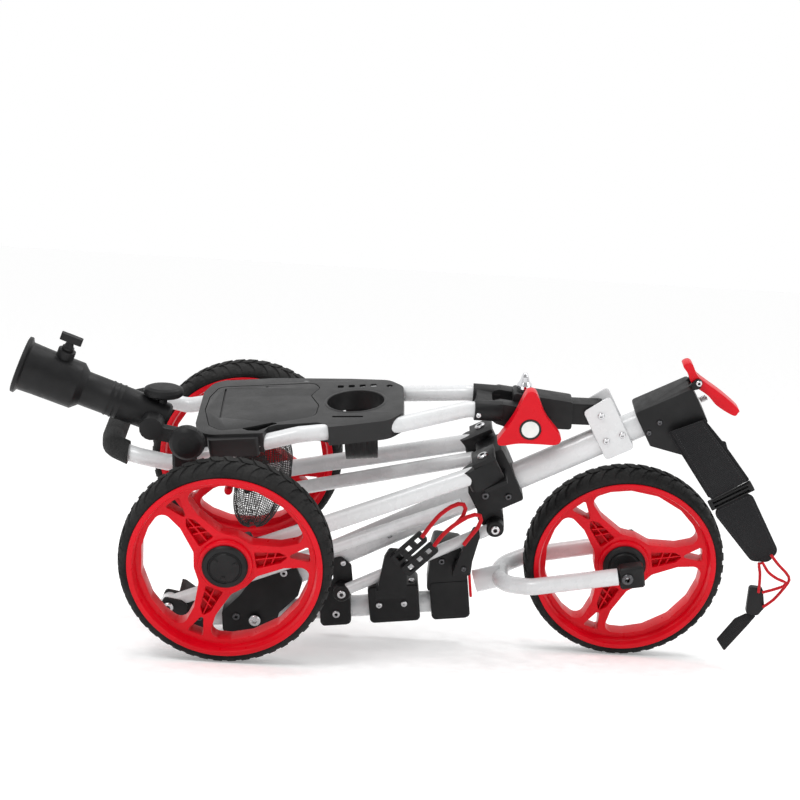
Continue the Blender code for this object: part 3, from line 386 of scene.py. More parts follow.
# ---- Shapes --------------------------------------------------------------------------------------
def fresh(name, mesh, matrix=None):
    obj = bpy.data.objects.new(name, mesh)
    bpy.context.scene.collection.objects.link(obj)
    if matrix is not None:
        obj.matrix_world = matrix
    return obj


def mesh_from(name, bm):
    mesh = bpy.data.meshes.new(name)
    bm.to_mesh(mesh)
    bm.free()
    return mesh


def drop(*objects):
    for obj in objects:
        bpy.data.objects.remove(obj, do_unlink=True)


def applied(obj, weld=1e-6, dissolve=0.0):
    """The object with its modifiers applied, doubled points welded and, if asked, flat faces merged."""
    bpy.context.view_layer.update()
    graph = bpy.context.evaluated_depsgraph_get()
    mesh = bpy.data.meshes.new_from_object(obj.evaluated_get(graph))
    bm = bmesh.new()
    bm.from_mesh(mesh)
    bmesh.ops.remove_doubles(bm, verts=bm.verts, dist=weld)
    if dissolve:
        bmesh.ops.dissolve_limit(bm, angle_limit=math.radians(dissolve), verts=bm.verts, edges=bm.edges)
    bmesh.ops.recalc_face_normals(bm, faces=bm.faces)
    bm.to_mesh(mesh)
    bm.free()
    name, matrix = obj.name, obj.matrix_world.copy()
    drop(obj)
    made = fresh(name, mesh, matrix)
    made.name = name
    return made


def combine(target, how, others):
    for other in others:
        change = target.modifiers.new(how.lower(), "BOOLEAN")
        change.operation = how
        change.object = other
        change.solver = "EXACT"
    made = applied(target)
    drop(*others)
    return made


def cut(target, *others):
    return combine(target, "DIFFERENCE", others)


def join(target, *others):
    return combine(target, "UNION", others)


def smooth(obj, angle=35):
    obj.data.shade_smooth()
    obj.data.set_sharp_from_angle(angle=math.radians(angle))
    return obj


def rounded(obj, width, segments=3, angle=30, dissolve=0.6):
    """Rounds the object's edges, then shades it smooth."""
    obj = applied(obj, dissolve=dissolve)
    bevel = obj.modifiers.new("rounding", "BEVEL")
    bevel.width = width
    bevel.segments = segments
    bevel.limit_method = "ANGLE"
    bevel.angle_limit = math.radians(angle)
    bevel.harden_normals = False
    obj = applied(obj)
    return smooth(obj, 40)


def frame_between(start, end):
    z = (end - start).normalized()
    x = Vector((0, 1, 0)) if abs(z.y) < 0.9 else Vector((1, 0, 0))
    y = z.cross(x).normalized()
    x = y.cross(z).normalized()
    turn = Matrix((x, y, z)).transposed().to_4x4()
    return Matrix.Translation((start + end) / 2) @ turn


def rod(name, start, end, radius, end_radius=None, half_width=None, sides=48, edge=0.0):
    start, end = Vector(start), Vector(end)
    bm = bmesh.new()
    bmesh.ops.create_cone(
        bm,
        cap_ends=True,
        segments=sides,
        radius1=radius,
        radius2=radius if end_radius is None else end_radius,
        depth=(end - start).length,
    )
    if half_width is not None:
        bmesh.ops.scale(bm, vec=(half_width / radius, 1, 1), verts=bm.verts)
    mesh = mesh_from(name, bm)
    obj = fresh(name, mesh, frame_between(start, end))
    return rounded(obj, edge, 3, 50, 0.0) if edge else smooth(obj)


def block(name, centre, size, slope=0.0, edge=0.0, segments=3):
    bm = bmesh.new()
    bmesh.ops.create_cube(bm, size=1)
    bmesh.ops.scale(bm, vec=size, verts=bm.verts)
    mesh = mesh_from(name, bm)
    obj = fresh(name, mesh, Matrix.Translation(centre) @ Matrix.Rotation(-slope, 4, "Y"))
    return rounded(obj, edge, segments) if edge else obj


def slab(name, outlines, low, high, matrix=None):
    curve = bpy.data.curves.new(name, "CURVE")
    curve.dimensions = "2D"
    curve.fill_mode = "BOTH"
    curve.extrude = (high - low) / 2
    for outline in outlines:
        spline = curve.splines.new("POLY")
        spline.points.add(len(outline) - 1)
        for point, xy in zip(spline.points, outline):
            point.co = (xy[0], xy[1], 0, 1)
        spline.use_cyclic_u = True
    middle = Matrix.Translation((0, 0, (high + low) / 2))
    return applied(fresh(name, curve, (matrix or Matrix()) @ middle))


SIDE_ON = Matrix.Rotation(math.radians(90), 4, "X")


def plate(name, outline, near, far, corner=0.0, edge=0.0, holes=()):
    outline = [(p[0], p[-1]) for p in outline]
    if corner:
        outline = filleted(outline, corner)
    obj = slab(name, [outline, *holes], -far, -near, SIDE_ON)
    return rounded(obj, edge) if edge else obj


def pipe(name, corners, radius, bend=0.05, sides=6, steps=10, caps=True):
    curve = bpy.data.curves.new(name, "CURVE")
    curve.dimensions = "3D"
    curve.bevel_depth = radius
    curve.bevel_resolution = sides
    curve.use_fill_caps = caps
    path = filleted(corners, bend, steps, closed=False) if len(corners) > 2 and bend else corners
    spline = curve.splines.new("POLY")
    spline.points.add(len(path) - 1)
    for point, place_at in zip(spline.points, path):
        point.co = (*place_at, 1)
    return smooth(applied(fresh(name, curve)), 50)


def turned(name, profile, matrix=None, steps=96, closed=False, angle=30):
    bm = bmesh.new()
    verts = [bm.verts.new((p[0], 0, p[1])) for p in profile]
    for start, end in zip(verts, verts[1:]):
        bm.edges.new((start, end))
    if closed:
        bm.edges.new((verts[-1], verts[0]))
    mesh = mesh_from(name, bm)
    obj = fresh(name, mesh, matrix)
    screw = obj.modifiers.new("turn", "SCREW")
    screw.axis = "Z"
    screw.steps = steps
    screw.render_steps = steps
    screw.use_merge_vertices = True
    screw.merge_threshold = 0.00001
    return smooth(applied(obj), angle)


def soft_profile(profile, radius, steps=4):
    """An open profile of a turned piece, its corners rounded."""
    return filleted([(r, z, 0) for r, z in profile], radius, steps, closed=False)


def turned_soft(name, profile, radius, matrix=None, steps=96):
    points = [(max(p.x, 0.0), p.y) for p in soft_profile(profile, radius)]
    return turned(name, points, matrix, steps)


# ---- Settling a piece: its place, its body, its material and the nodes that it stands for --------
def settle(obj, body, material, *nodes):
    bpy.context.view_layer.update()
    obj.data.transform(REST @ obj.matrix_world)
    obj.matrix_world = Matrix()
    return dress(obj, body, material, *nodes)


def dress(obj, body, material, *nodes):
    obj.data.materials.clear()
    obj.data.materials.append(material)
    bpy.context.view_layer.update()
    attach(obj, body)
    if nodes:
        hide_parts(*nodes)
    return obj


def refine(node, body, material, edge=0.0012, segments=3, name=None):
    """The CAD node's own shape with its edges rounded."""
    mesh = NODES[node].data.copy()
    obj = fresh(name or node + "_look", mesh)
    obj = applied(obj, weld=2e-6, dissolve=1.0)
    obj = rounded(obj, edge, segments, 28, 0.0)
    return dress(obj, body, material, node)


def screw_head(name, body, at, axis, radius, height, material=DARK_STEEL, socket=True):
    """A cap screw's head on a surface at that point, its hexagonal socket facing along axis."""
    at, axis = Vector(at), Vector(axis).normalized()
    matrix = Matrix.Translation(at) @ axis.to_track_quat("Z", "Y").to_matrix().to_4x4()
    edge = radius * 0.18
    profile = [(0, height), (radius - edge, height), (radius, height - edge), (radius, -0.0008), (0,
                                                                                                  -0.0008)]
    head = turned_soft(name, profile, edge * 0.6, matrix, 32)
    if socket:
        hexagon = [polar(radius * 0.52, a) for a in range(0, 360, 60)]
        head = cut(head, slab("socket", [hexagon], height - radius * 0.55, height + 0.01, matrix))
        smooth(head, 30)
    return settle(head, body, material)


# ---- Wheels --------------------------------------------------------------------------------------
def wheel_matrix(centre, side):
    return Matrix.Translation(centre) @ Matrix.Rotation(math.radians(-90 * side), 4, "X")


def grown(outline, amount):
    """A closed outline moved sideways by amount at every point, outwards for one that runs anticlockwise."""
    count = len(outline)
    moved = []
    for i, point in enumerate(outline):
        run = outline[(i + 1) % count] - outline[i - 1]
        normal = Vector((run.y, -run.x)).normalized()
        moved.append(point + normal * amount)
    return moved


def big_window(angle):
    """The opening between one spoke and the next, anticlockwise."""
    corners = [(0.0465, angle + 31), (0.0800, angle + 11.5), (0.1165, angle + 9.5)]
    corners += [(0.1165, angle + a) for a in (25, 40, 60, 80, 95)]
    corners += [(0.1165, angle + 110.5), (0.0800, angle + 108.5), (0.0465, angle + 89), (0.0440,
                                                                                         angle + 60)]
    return filleted([polar(r, a) for r, a in corners], 0.013, 6)


def small_window(angle):
    """The triangular opening near the rim in one spoke, anticlockwise."""
    return filleted([polar(0.084, angle), polar(0.1165, angle - 6.0), polar(0.1165, angle + 6.0)], 0.0025,
                    4)


def spoke_channel(angle):
    """The hollow between a spoke's two blades, from the hub out to the triangular opening."""
    return filleted([polar(0.0430, angle - 17), polar(0.0430, angle + 17), polar(0.0760, angle + 6.0),
                     polar(0.0845, angle + 1.0), polar(0.0845, angle - 1.0), polar(0.0760,
                                                                                   angle - 6.0)], 0.002, 3)


def spoke_ribs(angle):
    """The thin walls across a spoke's hollow."""
    turn = Matrix.Rotation(math.radians(angle), 4, "Z")
    walls = []
    for first, last in (((0.040, 0.000), (0.086, 0.000)), ((0.050, -0.013), (0.060, 0.009)),
                        ((0.062, -0.009), (0.071, 0.007))):
        start, end = Vector(first), Vector(last)
        run = (end - start).normalized() * 0.0008
        side = Vector((-run.y, run.x))
        walls.append(slab("wall", [[start + side, start - side, end - side, end + side]], -0.003, 0.0100,
                          turn))
    return walls


def rim_look():
    """The wheel's red moulding about local Z: barrel, three spokes of two blades each, hub."""
    edge, half = 0.1334, 0.0295
    barrel = turned(
        "rim",
        filleted(
            [(edge, half, 0), (edge, 0.0267, 0), (0.1290, 0.0262, 0), (0.1290, -0.0262, 0), (edge, -0.0267,
                                                                                             0),
             (edge, -half, 0), (0.1262, -half, 0), (0.1236, -0.0225, 0), (0.1215, 0, 0), (0.1236, 0.0225,
                                                                                          0),
             (0.1262, half, 0)], 0.0012, 3),
        steps=120,
        closed=True,
    )
    disc = [polar(0.1245, a) for a in range(0, 360, 4)]
    windows = [big_window(a) for a in SPOKE_ANGLES]
    holes = [small_window(a) for a in SPOKE_ANGLES]
    web = slab("web", [disc, *windows, *holes], -0.0116, 0.0126)
    for angle in SPOKE_ANGLES:
        web = cut(web, slab("channel", [spoke_channel(angle)], 0.0010, 0.05))
    walls = [wall for a in SPOKE_ANGLES for wall in spoke_ribs(a)]
    hub = turned_soft(
        "hub",
        [(0, 0.0195), (0.0350, 0.0195), (0.0372, 0.0180), (0.0380, 0.0120), (0.0380, -0.0200), (0.0250,
                                                                                                -0.0238),
         (0, -0.0238)],
        0.002,
        steps=72,
    )
    bore = rod("bore", (0, 0, -0.05), (0, 0, 0.05), 0.0064)
    rim = join(web, *walls)
    rim = join(rim, hub)
    rim = cut(join(barrel, rim), bore)
    rim = rounded(rim, 0.0016, 3, 40, 0.3)
    mesh = rim.data
    drop(rim)
    return mesh


TREAD_PITCHES = 46
TREAD_PROFILE = ((0.0000, 0.1452), (0.0050, 0.1452), (0.0110, 0.1450), (0.0170, 0.1441), (0.0222, 0.1424),
                 (0.0252, 0.1400), (0.0272, 0.1378))


def tread_block(bm, start, side):
    """One slanted block of the tread from the middle of the tyre over its shoulder, start in radians."""
    pitch = 2 * math.pi / TREAD_PITCHES
    rings = []
    for i, (y, r) in enumerate(TREAD_PROFILE):
        share = i / (len(TREAD_PROFILE) - 1)
        slant = pitch * 0.62 * math.sin(share * math.pi * 0.5)
        first = start + slant + pitch * 0.08
        last = start + slant + pitch * (0.80 - 0.12 * share)
        y_place = side * (y + 0.0009)
        outward = 0.0022 * (1 - 0.55 * share**3)
        lean = 0.0006 if share < 1 else 0.0
        ring = []
        for angle, depth in ((first, -0.0014), (first + 0.006, outward), (last - 0.006, outward), (last,
                                                                                                   -0.0014)):
            radius = r + depth
            ring.append(bm.verts.new((radius * math.cos(angle), radius * math.sin(angle),
                                      y_place + side * lean)))
        rings.append(ring)
    for one, two in zip(rings, rings[1:]):
        for k in range(4):
            bm.faces.new((one[k], one[(k + 1) % 4], two[(k + 1) % 4], two[k]))
    bm.faces.new(rings[0])
    bm.faces.new(rings[-1][::-1])


def tyre_look():
    profile = [(0.1293, 0.0262), (0.1334, 0.0264), (0.1338, 0.0272), (0.1362, 0.0279), (0.1392, 0.0276),
               (0.1424, 0.0250), (0.1442, 0.0196), (0.1450, 0.0120), (0.1453, 0.0)]
    ring = [(r, z) for r, z in profile] + [(r, -z) for r, z in profile[-2::-1]]
    tyre = turned("tyre", ring, steps=138, closed=True, angle=60)
    bm = bmesh.new()
    bm.from_mesh(tyre.data)
    for i in range(TREAD_PITCHES):
        start = 2 * math.pi * i / TREAD_PITCHES
        tread_block(bm, start, 1)
        tread_block(bm, start + math.pi / TREAD_PITCHES, -1)
    bmesh.ops.recalc_face_normals(bm, faces=bm.faces)
    bm.to_mesh(tyre.data)
    bm.free()
    smooth(tyre, 32)
    mesh = tyre.data
    drop(tyre)
    return mesh


def cap_look(hole):
    """The wheel's domed hub cap with its groove and three raised bars, about local Z."""
    z = 0.0203
    profile = [(hole, z + 0.0072), (0.010, z + 0.0072), (0.0200, z + 0.0064), (0.0215, z + 0.0042),
               (0.0228, z + 0.0042), (0.0242, z + 0.0058), (0.0292, z + 0.0048), (0.0315, z + 0.0022),
               (0.0315, z), (hole, z)]
    cap = turned_soft("cap", profile, 0.0007, steps=96)
    bars = []
    for angle in (30, 150, 270):
        turn = Matrix.Rotation(math.radians(angle), 4, "Z")
        outline = filleted([(0.0125, -0.0022), (0.0190, -0.0030), (0.0190, 0.0030), (0.0125, 0.0022)],
                           0.0009, 3)
        bars.append(slab("bar", [outline], z + 0.002, z + 0.0080, turn))
    cap = join(cap, *bars)
    smooth(cap, 30)
    mesh = cap.data
    drop(cap)
    return mesh


def wheels():
    rim, tyre, blind, open_cap = rim_look(), tyre_look(), cap_look(0.0), cap_look(0.0064)
    places = (
        ("front", Vector((FRONT_X, 0, WHEEL_RADIUS)), -1, "front_wheel", open_cap),
        ("rear_near", Vector((0, -HALF_TRACK, WHEEL_RADIUS)), -1, "rear_wheel_near", blind),
        ("rear_far", Vector((0, HALF_TRACK, WHEEL_RADIUS)), 1, "rear_wheel_far", blind),
    )
    for prefix, centre, side, body, cap in places:
        matrix = wheel_matrix(centre, side)
        settle(fresh(prefix + "_rim_look", rim.copy(), matrix), body, RED, prefix + "_rim")
        settle(fresh(prefix + "_tyre_look", tyre.copy(), matrix), body, FOAM, prefix + "_tyre")
        settle(fresh(prefix + "_hub_cap_look", cap.copy(), matrix), body, BLACK, prefix + "_hub_cap")


# ---- Tubes ---------------------------------------------------------------------------------------
ARM_PIVOT = Vector((0.348, -0.056, 0.281))
CARRIER_PIVOT = Vector((0.008, -0.142, 0.132))
BRACE_Y = -0.036
CLEVIS_PIN = Vector((-0.078, BRACE_Y, -0.012))
STRUT_TOP = Vector((0.374, -0.033, 0.184))
STRUT_LOW = Vector((0.170, -0.033, 0.045))
HANDLE_SIDE = [(0.330, 0.0316, 0.3600), (0.304, 0.032, 0.3585), (0.212, 0.060, 0.3310), (0.072, 0.090,
                                                                                         0.3050),
               (-0.096, 0.110, 0.2425),
               (-0.150, 0.112, 0.2475), (-0.180, 0.086, 0.245), (-0.187, 0.030, 0.234)]
Y_AXIS = Vector((0, 1, 0))


def handle_path(first=0):
    far = [Vector(p) for p in HANDLE_SIDE[first:]]
    return [mirrored(p) for p in far] + far[::-1]


def arm_tube(name, pivot, end):
    up = across(TUBE_SLOPE)
    tube = rod(name, pivot, end, 0.0125, sides=40)
    barrels = [rod("barrel", p - up * 0.017, p + up * 0.017, 0.013, sides=40) for p in (pivot, end)]
    bores = [rod("bore", p - up * 0.04, p + up * 0.04, 0.0056, sides=24) for p in (pivot, end)]
    return rounded(cut(join(tube, *barrels), *bores), 0.0009, 2, 45, 0.0)


def arm_end_fitting(name, pivot, other):
    """The black fork-like end that holds an arm's tube, square to the arm's pivot."""
    up = across(TUBE_SLOPE)
    run = (other - pivot).normalized()
    run = (run - up * run.dot(up)).normalized()
    side = up.cross(run)
    turn = Matrix((run, side, up)).transposed().to_4x4()
    outline = filleted([(-0.0145, -0.0145), (0.036, -0.0145), (0.036, 0.0145), (-0.0145, 0.0145)], 0.0115,
                       6)
    fitting = slab(name, [outline], -0.0166, 0.0166, Matrix.Translation(pivot) @ turn)
    return rounded(fitting, 0.0022, 3, 40, 0.0)


def eyed_tube(name, start, end, radius, eye, half, eyes=(True, True)):
    tube = rod(name, start, end, radius, sides=36)
    at = [p for p, wanted in zip((start, end), eyes) if wanted]
    rings = [rod("eye", p - Y_AXIS * half, p + Y_AXIS * half, eye, sides=36) for p in at]
    bores = [rod("bore", p - Y_AXIS * 0.03, p + Y_AXIS * 0.03, 0.0044, sides=24) for p in at]
    return rounded(cut(join(tube, *rings), *bores), 0.0008, 2, 45, 0.0)


def tubes():
    main = rod("main_tube_look", on_tube(0, 0), on_tube(0.652, 0), 0.0205, half_width=0.017, sides=72,
               edge=0.0012)
    settle(main, "main_frame", WHITE, "main_tube")
    stub = rod("rear_stub_look", on_keel(-0.037, 0), on_keel(-0.089, 0), 0.016, sides=56, edge=0.0008)
    settle(stub, "main_frame", WHITE, "rear_stub_tube")
    high = Vector((0.321, BRACE_Y, 0.2125))
    brace = eyed_tube("brace_look", CLEVIS_PIN, high, 0.0095, 0.012, 0.0095, (True, False))
    settle(brace, "main_frame", WHITE, "brace_tube")
    settle(arm_tube("rear_arm_near_look", ARM_PIVOT, CARRIER_PIVOT), "rear_arm_near", WHITE,
           "rear_arm_near")
    far = arm_tube("rear_arm_far_look", mirrored(ARM_PIVOT), mirrored(CARRIER_PIVOT))
    settle(far, "rear_arm_far", WHITE, "rear_arm_far")
    stay = rod("far_stay_look", (0.333, 0.0398, 0.2554), (0.060, 0.119, 0.122), 0.0105, sides=40,
               edge=0.0010)
    settle(stay, "rear_arm_far", WHITE, "far_stay_tube")
    strut = eyed_tube("fold_strut_look", STRUT_TOP, STRUT_LOW, 0.0085, 0.0105, 0.0085)
    settle(strut, "fold_strut", WHITE, "fold_strut")
    for tag, at in (("top", STRUT_TOP), ("low", STRUT_LOW)):
        profile = [(0.0045, 0.0088), (0.0045, 0.0104), (0.0105, 0.0104), (0.0126, 0.0085), (0.0126,
                                                                                            -0.0084),
                   (0.0108, -0.0084), (0.0108, 0.0088)]
        cover = turned_soft("strut_eye_cover_" + tag, profile, 0.0008, Matrix.Translation(at) @ SIDE_ON, 48)
        settle(cover, "fold_strut", BLACK)
    for tag, pivot, low in (("near", ARM_PIVOT, CARRIER_PIVOT),
                            ("far", mirrored(ARM_PIVOT), mirrored(CARRIER_PIVOT))):
        settle(arm_end_fitting("arm_end_" + tag, pivot, low), "rear_arm_" + tag, BLACK)
        settle(arm_end_fitting("arm_low_end_" + tag, low, pivot), "rear_arm_" + tag, BLACK)
    keel = rod("keel_look", on_keel(-0.012, 0), on_keel(0.318, 0), 0.016, sides=56, edge=0.0008)
    keel = cut(keel, rod("bore", FOLD_PIVOT - Y_AXIS * 0.05, FOLD_PIVOT + Y_AXIS * 0.05, 0.0054, sides=32))
    settle(smooth(keel, 40), "front_leg", WHITE, "keel_tube")
    loop = pipe("handle_loop_look", handle_path(), 0.0115, 0.035, 8, 10)
    settle(loop, "handle", WHITE, "handle_loop")


def fork():
    y = 0.0555
    corners = [(0.5615, -y, 0.1445), (0.440, -y + 0.002, 0.1065), (0.399, -0.030, 0.094),
               (0.399, 0.030, 0.094), (0.440, y - 0.002, 0.1065), (0.5615, y, 0.1445)]
    legs = pipe("fork_look", corners, 0.0125, 0.036, 8, 10)
    neck = rod("neck", on_keel(0.3290, 0.0285), (0.402, 0, 0.0935), 0.0175, half_width=0.0125, sides=48)
    fork_look = rounded(join(legs, neck), 0.0035, 4, 40, 0.0)
    settle(fork_look, "front_leg", WHITE, "fork")
    for node in ("fork_end_near", "fork_end_far"):
        refine(node, "front_leg", BLACK, 0.0018)
    for side in (-1, 1):
        at = (FRONT_X, side * 0.0665, WHEEL_RADIUS)
        screw_head("fork_end_bolt_" + ("near" if side < 0 else "far"), "front_leg", at, (0, side, 0),
                   0.0085, 0.003)
    axle = rod("front_axle_look", (FRONT_X, -0.063, WHEEL_RADIUS), (FRONT_X, 0.063, WHEEL_RADIUS), 0.006,
               sides=32, edge=0.0006)
    settle(axle, "front_leg", STEEL, "front_axle")
    refine("fork_lock_tab", "front_leg", RED, 0.0010)


# ---- Console -------------------------------------------------------------------------------------
CONSOLE_ORIGIN = Vector((-0.073, 0, 0.2865))
CONSOLE_SLOPE = math.radians(11.8)
CONSOLE_THICK = 0.028
LID_HINGE_V = 0.080
LID_OUTLINE = [(0.022, LID_HINGE_V), (0.162, LID_HINGE_V), (0.170, 0.060), (0.158, 0.030), (0.171, -0.010),
               (0.168, -0.050), (0.140, -0.061), (0.106, -0.070), (0.074, -0.084), (0.038, -0.091),
               (0.020, -0.070), (0.009, -0.010), (0.011, 0.040)]


def console_frame():
    return Matrix.Translation(CONSOLE_ORIGIN) @ Matrix.Rotation(-CONSOLE_SLOPE, 4, "Y")


def both_sides(half):
    return list(half) + [(u, -v) for u, v in reversed(half)]


def handle_clearance():
    return pipe("clearance", handle_path(), 0.0118, 0.035, 6, 8)


def inset(outline, amount):
    return grown(outline, -amount) if area_of(outline) > 0 else grown(outline, amount)


def area_of(outline):
    total = 0.0
    for one, two in zip(outline, outline[1:] + outline[:1]):
        total += one.x * two.y - two.x * one.y
    return total / 2


def console():
    matrix = console_frame()
    half = [(0.000, 0.062), (0.014, 0.106), (0.105, 0.108), (0.215, 0.092), (0.272, 0.080), (0.2925, 0.052)]
    cup = [polar(0.041, a) + Vector((0.224, 0)) for a in range(0, 360, 5)]
    outline = filleted(both_sides(half), 0.026, 8)
    tray = slab("console_tray_look", [outline, cup], -CONSOLE_THICK, 0, matrix)
    skirts = []
    for side in (-1, 1):
        edge = filleted([(0.016, side * 0.090), (0.092, side * 0.088), (0.092, side * 0.1165),
                         (0.024, side * 0.1180)], 0.006, 6)
        skirts.append(slab("skirt", [edge], -0.030, -0.004, matrix))
    tray = rounded(join(tray, *skirts), 0.0050, 4, 50, 0.0)
    lid_outline = filleted(LID_OUTLINE, 0.014, 6)
    wide, narrow = inset(lid_outline, -0.0010), inset(lid_outline, 0.012)
    tools = [slab("recess", [wide], -0.0046, 0.01, matrix), slab("pocket", [narrow], -0.022, 0.01, matrix)]
    notch = [(0.104, -0.086), (0.116, -0.079), (0.172, -0.0765), (0.186, -0.084), (0.194, -0.130),
             (0.092, -0.130)]
    tools.append(slab("notch", [filleted(notch, 0.006, 6)], -0.05, 0.01, matrix))
    crescent = [(0.066, -0.0865), (0.076, -0.0960), (0.090, -0.0985), (0.100, -0.0900), (0.108, -0.0800),
                (0.120, -0.0735), (0.106, -0.0690), (0.074, -0.0830)]
    tools.append(slab("crescent", [filleted(crescent, 0.004, 5)], -0.009, 0.01, matrix))
    for u in (0.196, 0.212, 0.228, 0.244):
        slot = filleted([(u, 0.056), (u + 0.009, 0.056), (u + 0.009, 0.066), (u, 0.066)], 0.002, 3)
        tools.append(slab("slot", [slot], -0.009, 0.01, matrix))
    round_hole = [polar(0.0048, a) + Vector((0.272, 0.056)) for a in range(0, 360, 15)]
    tools.append(slab("hole", [round_hole], -0.012, 0.01, matrix))
    long_slot = filleted([(0.192, -0.054), (0.236, -0.0585), (0.236, -0.0640), (0.192, -0.0595)], 0.002, 3)
    tools.append(slab("slot", [long_slot], -0.006, 0.01, matrix))
    tray = cut(tray, *tools, handle_clearance())
    tray = rounded(tray, 0.0007, 2, 40, 0.2)
    settle(tray, "handle", CONSOLE, "console_tray")
    lip_profile = [(0.0410, -0.0020), (0.0410, 0.0006), (0.0428, 0.0012), (0.0452, 0.0006), (0.0462,
                                                                                             -0.0003)]
    lip = turned_soft("cup_hole_lip", [*lip_profile, (0.0450, -0.0015)], 0.0005,
                      matrix @ Matrix.Translation((0.224, 0, -0.0004)))
    settle(lip, "handle", CONSOLE)
    lid = slab("console_lid_look", [lid_outline], -0.0042, -0.0002, matrix)
    pencil = filleted([(0.0300, 0.0715), (0.0325, 0.0715), (0.0345, -0.0425), (0.0320, -0.0425)], 0.0010, 3)
    mark = filleted([(0.0900, 0.0715), (0.0950, 0.0715), (0.0930, 0.0745), (0.0890, 0.0745)], 0.0010, 3)
    lid = cut(lid, slab("pencil_slot", [pencil], -0.0030, 0.01, matrix), slab("mark", [mark], -0.0030,
                                                                              0.01, matrix))
    lid = rounded(lid, 0.0008, 2, 40, 0.3)
    settle(lid, "console_lid", CONSOLE, "console_lid")


def cup_band():
    outer, inner = [], []
    for step in range(49):
        angle = math.radians(180 + 3.75 * step)
        outer.append((0.0435 * math.cos(angle), 0.0435 * math.sin(angle)))
        inner.append((0.0415 * math.cos(angle), 0.0415 * math.sin(angle)))
    top = CONSOLE_THICK / 2
    outline = [(-0.0435, top), *outer, (0.0435, top), (0.0415, top), *inner[::-1], (-0.0415, top)]
    matrix = console_frame() @ Matrix.Translation((0.229, 0, -CONSOLE_THICK - top - 0.0005))
    upright = Matrix.Rotation(math.radians(90), 4, "Z") @ Matrix.Rotation(math.radians(90), 4, "X")
    band = slab("cup_band_look", [outline], -0.0225, 0.0225, matrix @ upright)
    grooves = []
    for v in (-0.016, -0.008, 0.0, 0.008, 0.016):
        ring = [(x * 1.2, z * 1.2) for x, z in outer] + [(x * 0.990, z * 0.990) for x, z in outer[::-1]]
        grooves.append(slab("groove", [ring], v - 0.0010, v + 0.0010, matrix @ upright))
    band = rounded(cut(band, *grooves), 0.0004, 2, 40, 0.2)
    settle(band, "handle", BLACK, "cup_holder_band")


GRIP_END = -0.157


def grip():
    inner = [mirrored(Vector((-0.140, 0.1117, 0.2478))), *handle_path(5), Vector((-0.140, 0.1117, 0.2478))]
    sleeve = pipe("handle_grip_look", inner, 0.0160, 0.035, 8, 12)
    ends = block("ends", (GRIP_END + 0.020, 0, 0.250), (0.040, 0.300, 0.060))
    sleeve = rounded(cut(sleeve, handle_clearance(), ends), 0.0022, 3, 50, 0.0)
    settle(sleeve, "handle", GRIP, "handle_grip")


def accessory_bag():
    """An empty net bag that hangs from the console, drawn in at its foot, with a hem and a cord lock."""
    rows, columns = 46, 60
    top, foot = Vector((0.026, 0, 0.262)), Vector((0.030, 0, 0.116))
    bm = bmesh.new()
    rings = []
    for i in range(rows + 1):
        share = i / rows
        centre = top.lerp(foot, share) + Vector((0.004 * math.sin(share * 5),
                                                 0.003 * math.sin(share * 4 + 1), 0))
        belly = 0.62 + 0.36 * math.sin(math.pi * min(1.0, share * 1.05 + 0.05)) ** 0.8
        closing = 1.0 if share < 0.86 else math.sqrt(max(0.02, 1 - ((share - 0.86) / 0.145) ** 2))
        ring = []
        for k in range(columns):
            angle = 2 * math.pi * k / columns
            fold = 1 + 0.07 * math.sin(angle * 5 + share * 3) * (1 - 0.5 * share)
            fold += 0.04 * math.sin(angle * 9 - share * 6)
            x = 0.039 * belly * closing * fold * math.cos(angle)
            y = 0.034 * belly * closing * fold * math.sin(angle)
            ring.append(bm.verts.new(centre + Vector((x, y, 0.003 * math.sin(angle * 2 + share * 4)))))
        rings.append(ring)
    for one, two in zip(rings, rings[1:]):
        for k in range(columns):
            bm.faces.new((one[k], one[(k + 1) % columns], two[(k + 1) % columns], two[k]))
    bm.faces.new(rings[-1])
    mesh = mesh_from("net", bm)
    net = fresh("net_bag", mesh)
    wires = net.modifiers.new("net", "WIREFRAME")
    wires.thickness = 0.0010
    wires.use_replace = True
    wires.use_even_offset = True
    net = smooth(applied(net), 60)
    settle(net, "handle", NET, "accessory_bag")
    hem_ring = [top + Vector((0.0265 * math.cos(a), 0.0235 * math.sin(a), 0.001)) for a in
                (2 * math.pi * k / 40 for k in range(41))]
    hem = pipe("net_bag_hem", hem_ring, 0.0022, 0, 4)
    settle(hem, "handle", WEB)
    lock = turned_soft("cord_lock", [(0, 0.009), (0.005, 0.009), (0.006, 0.004), (0.006, -0.006), (0,
                                                                                                   -0.006)],
                       0.0012, Matrix.Translation((-0.015, -0.036, 0.182)) @ SIDE_ON, 32)
    settle(lock, "handle", RED)


# ---- Umbrella holder and its clamp ---------------------------------------------------------------
HOLDER_PIVOT = Vector((-0.130, -0.060, 0.289))
HOLDER_SLOPE = math.radians(13.5)
HOLDER_LENGTH = 0.220


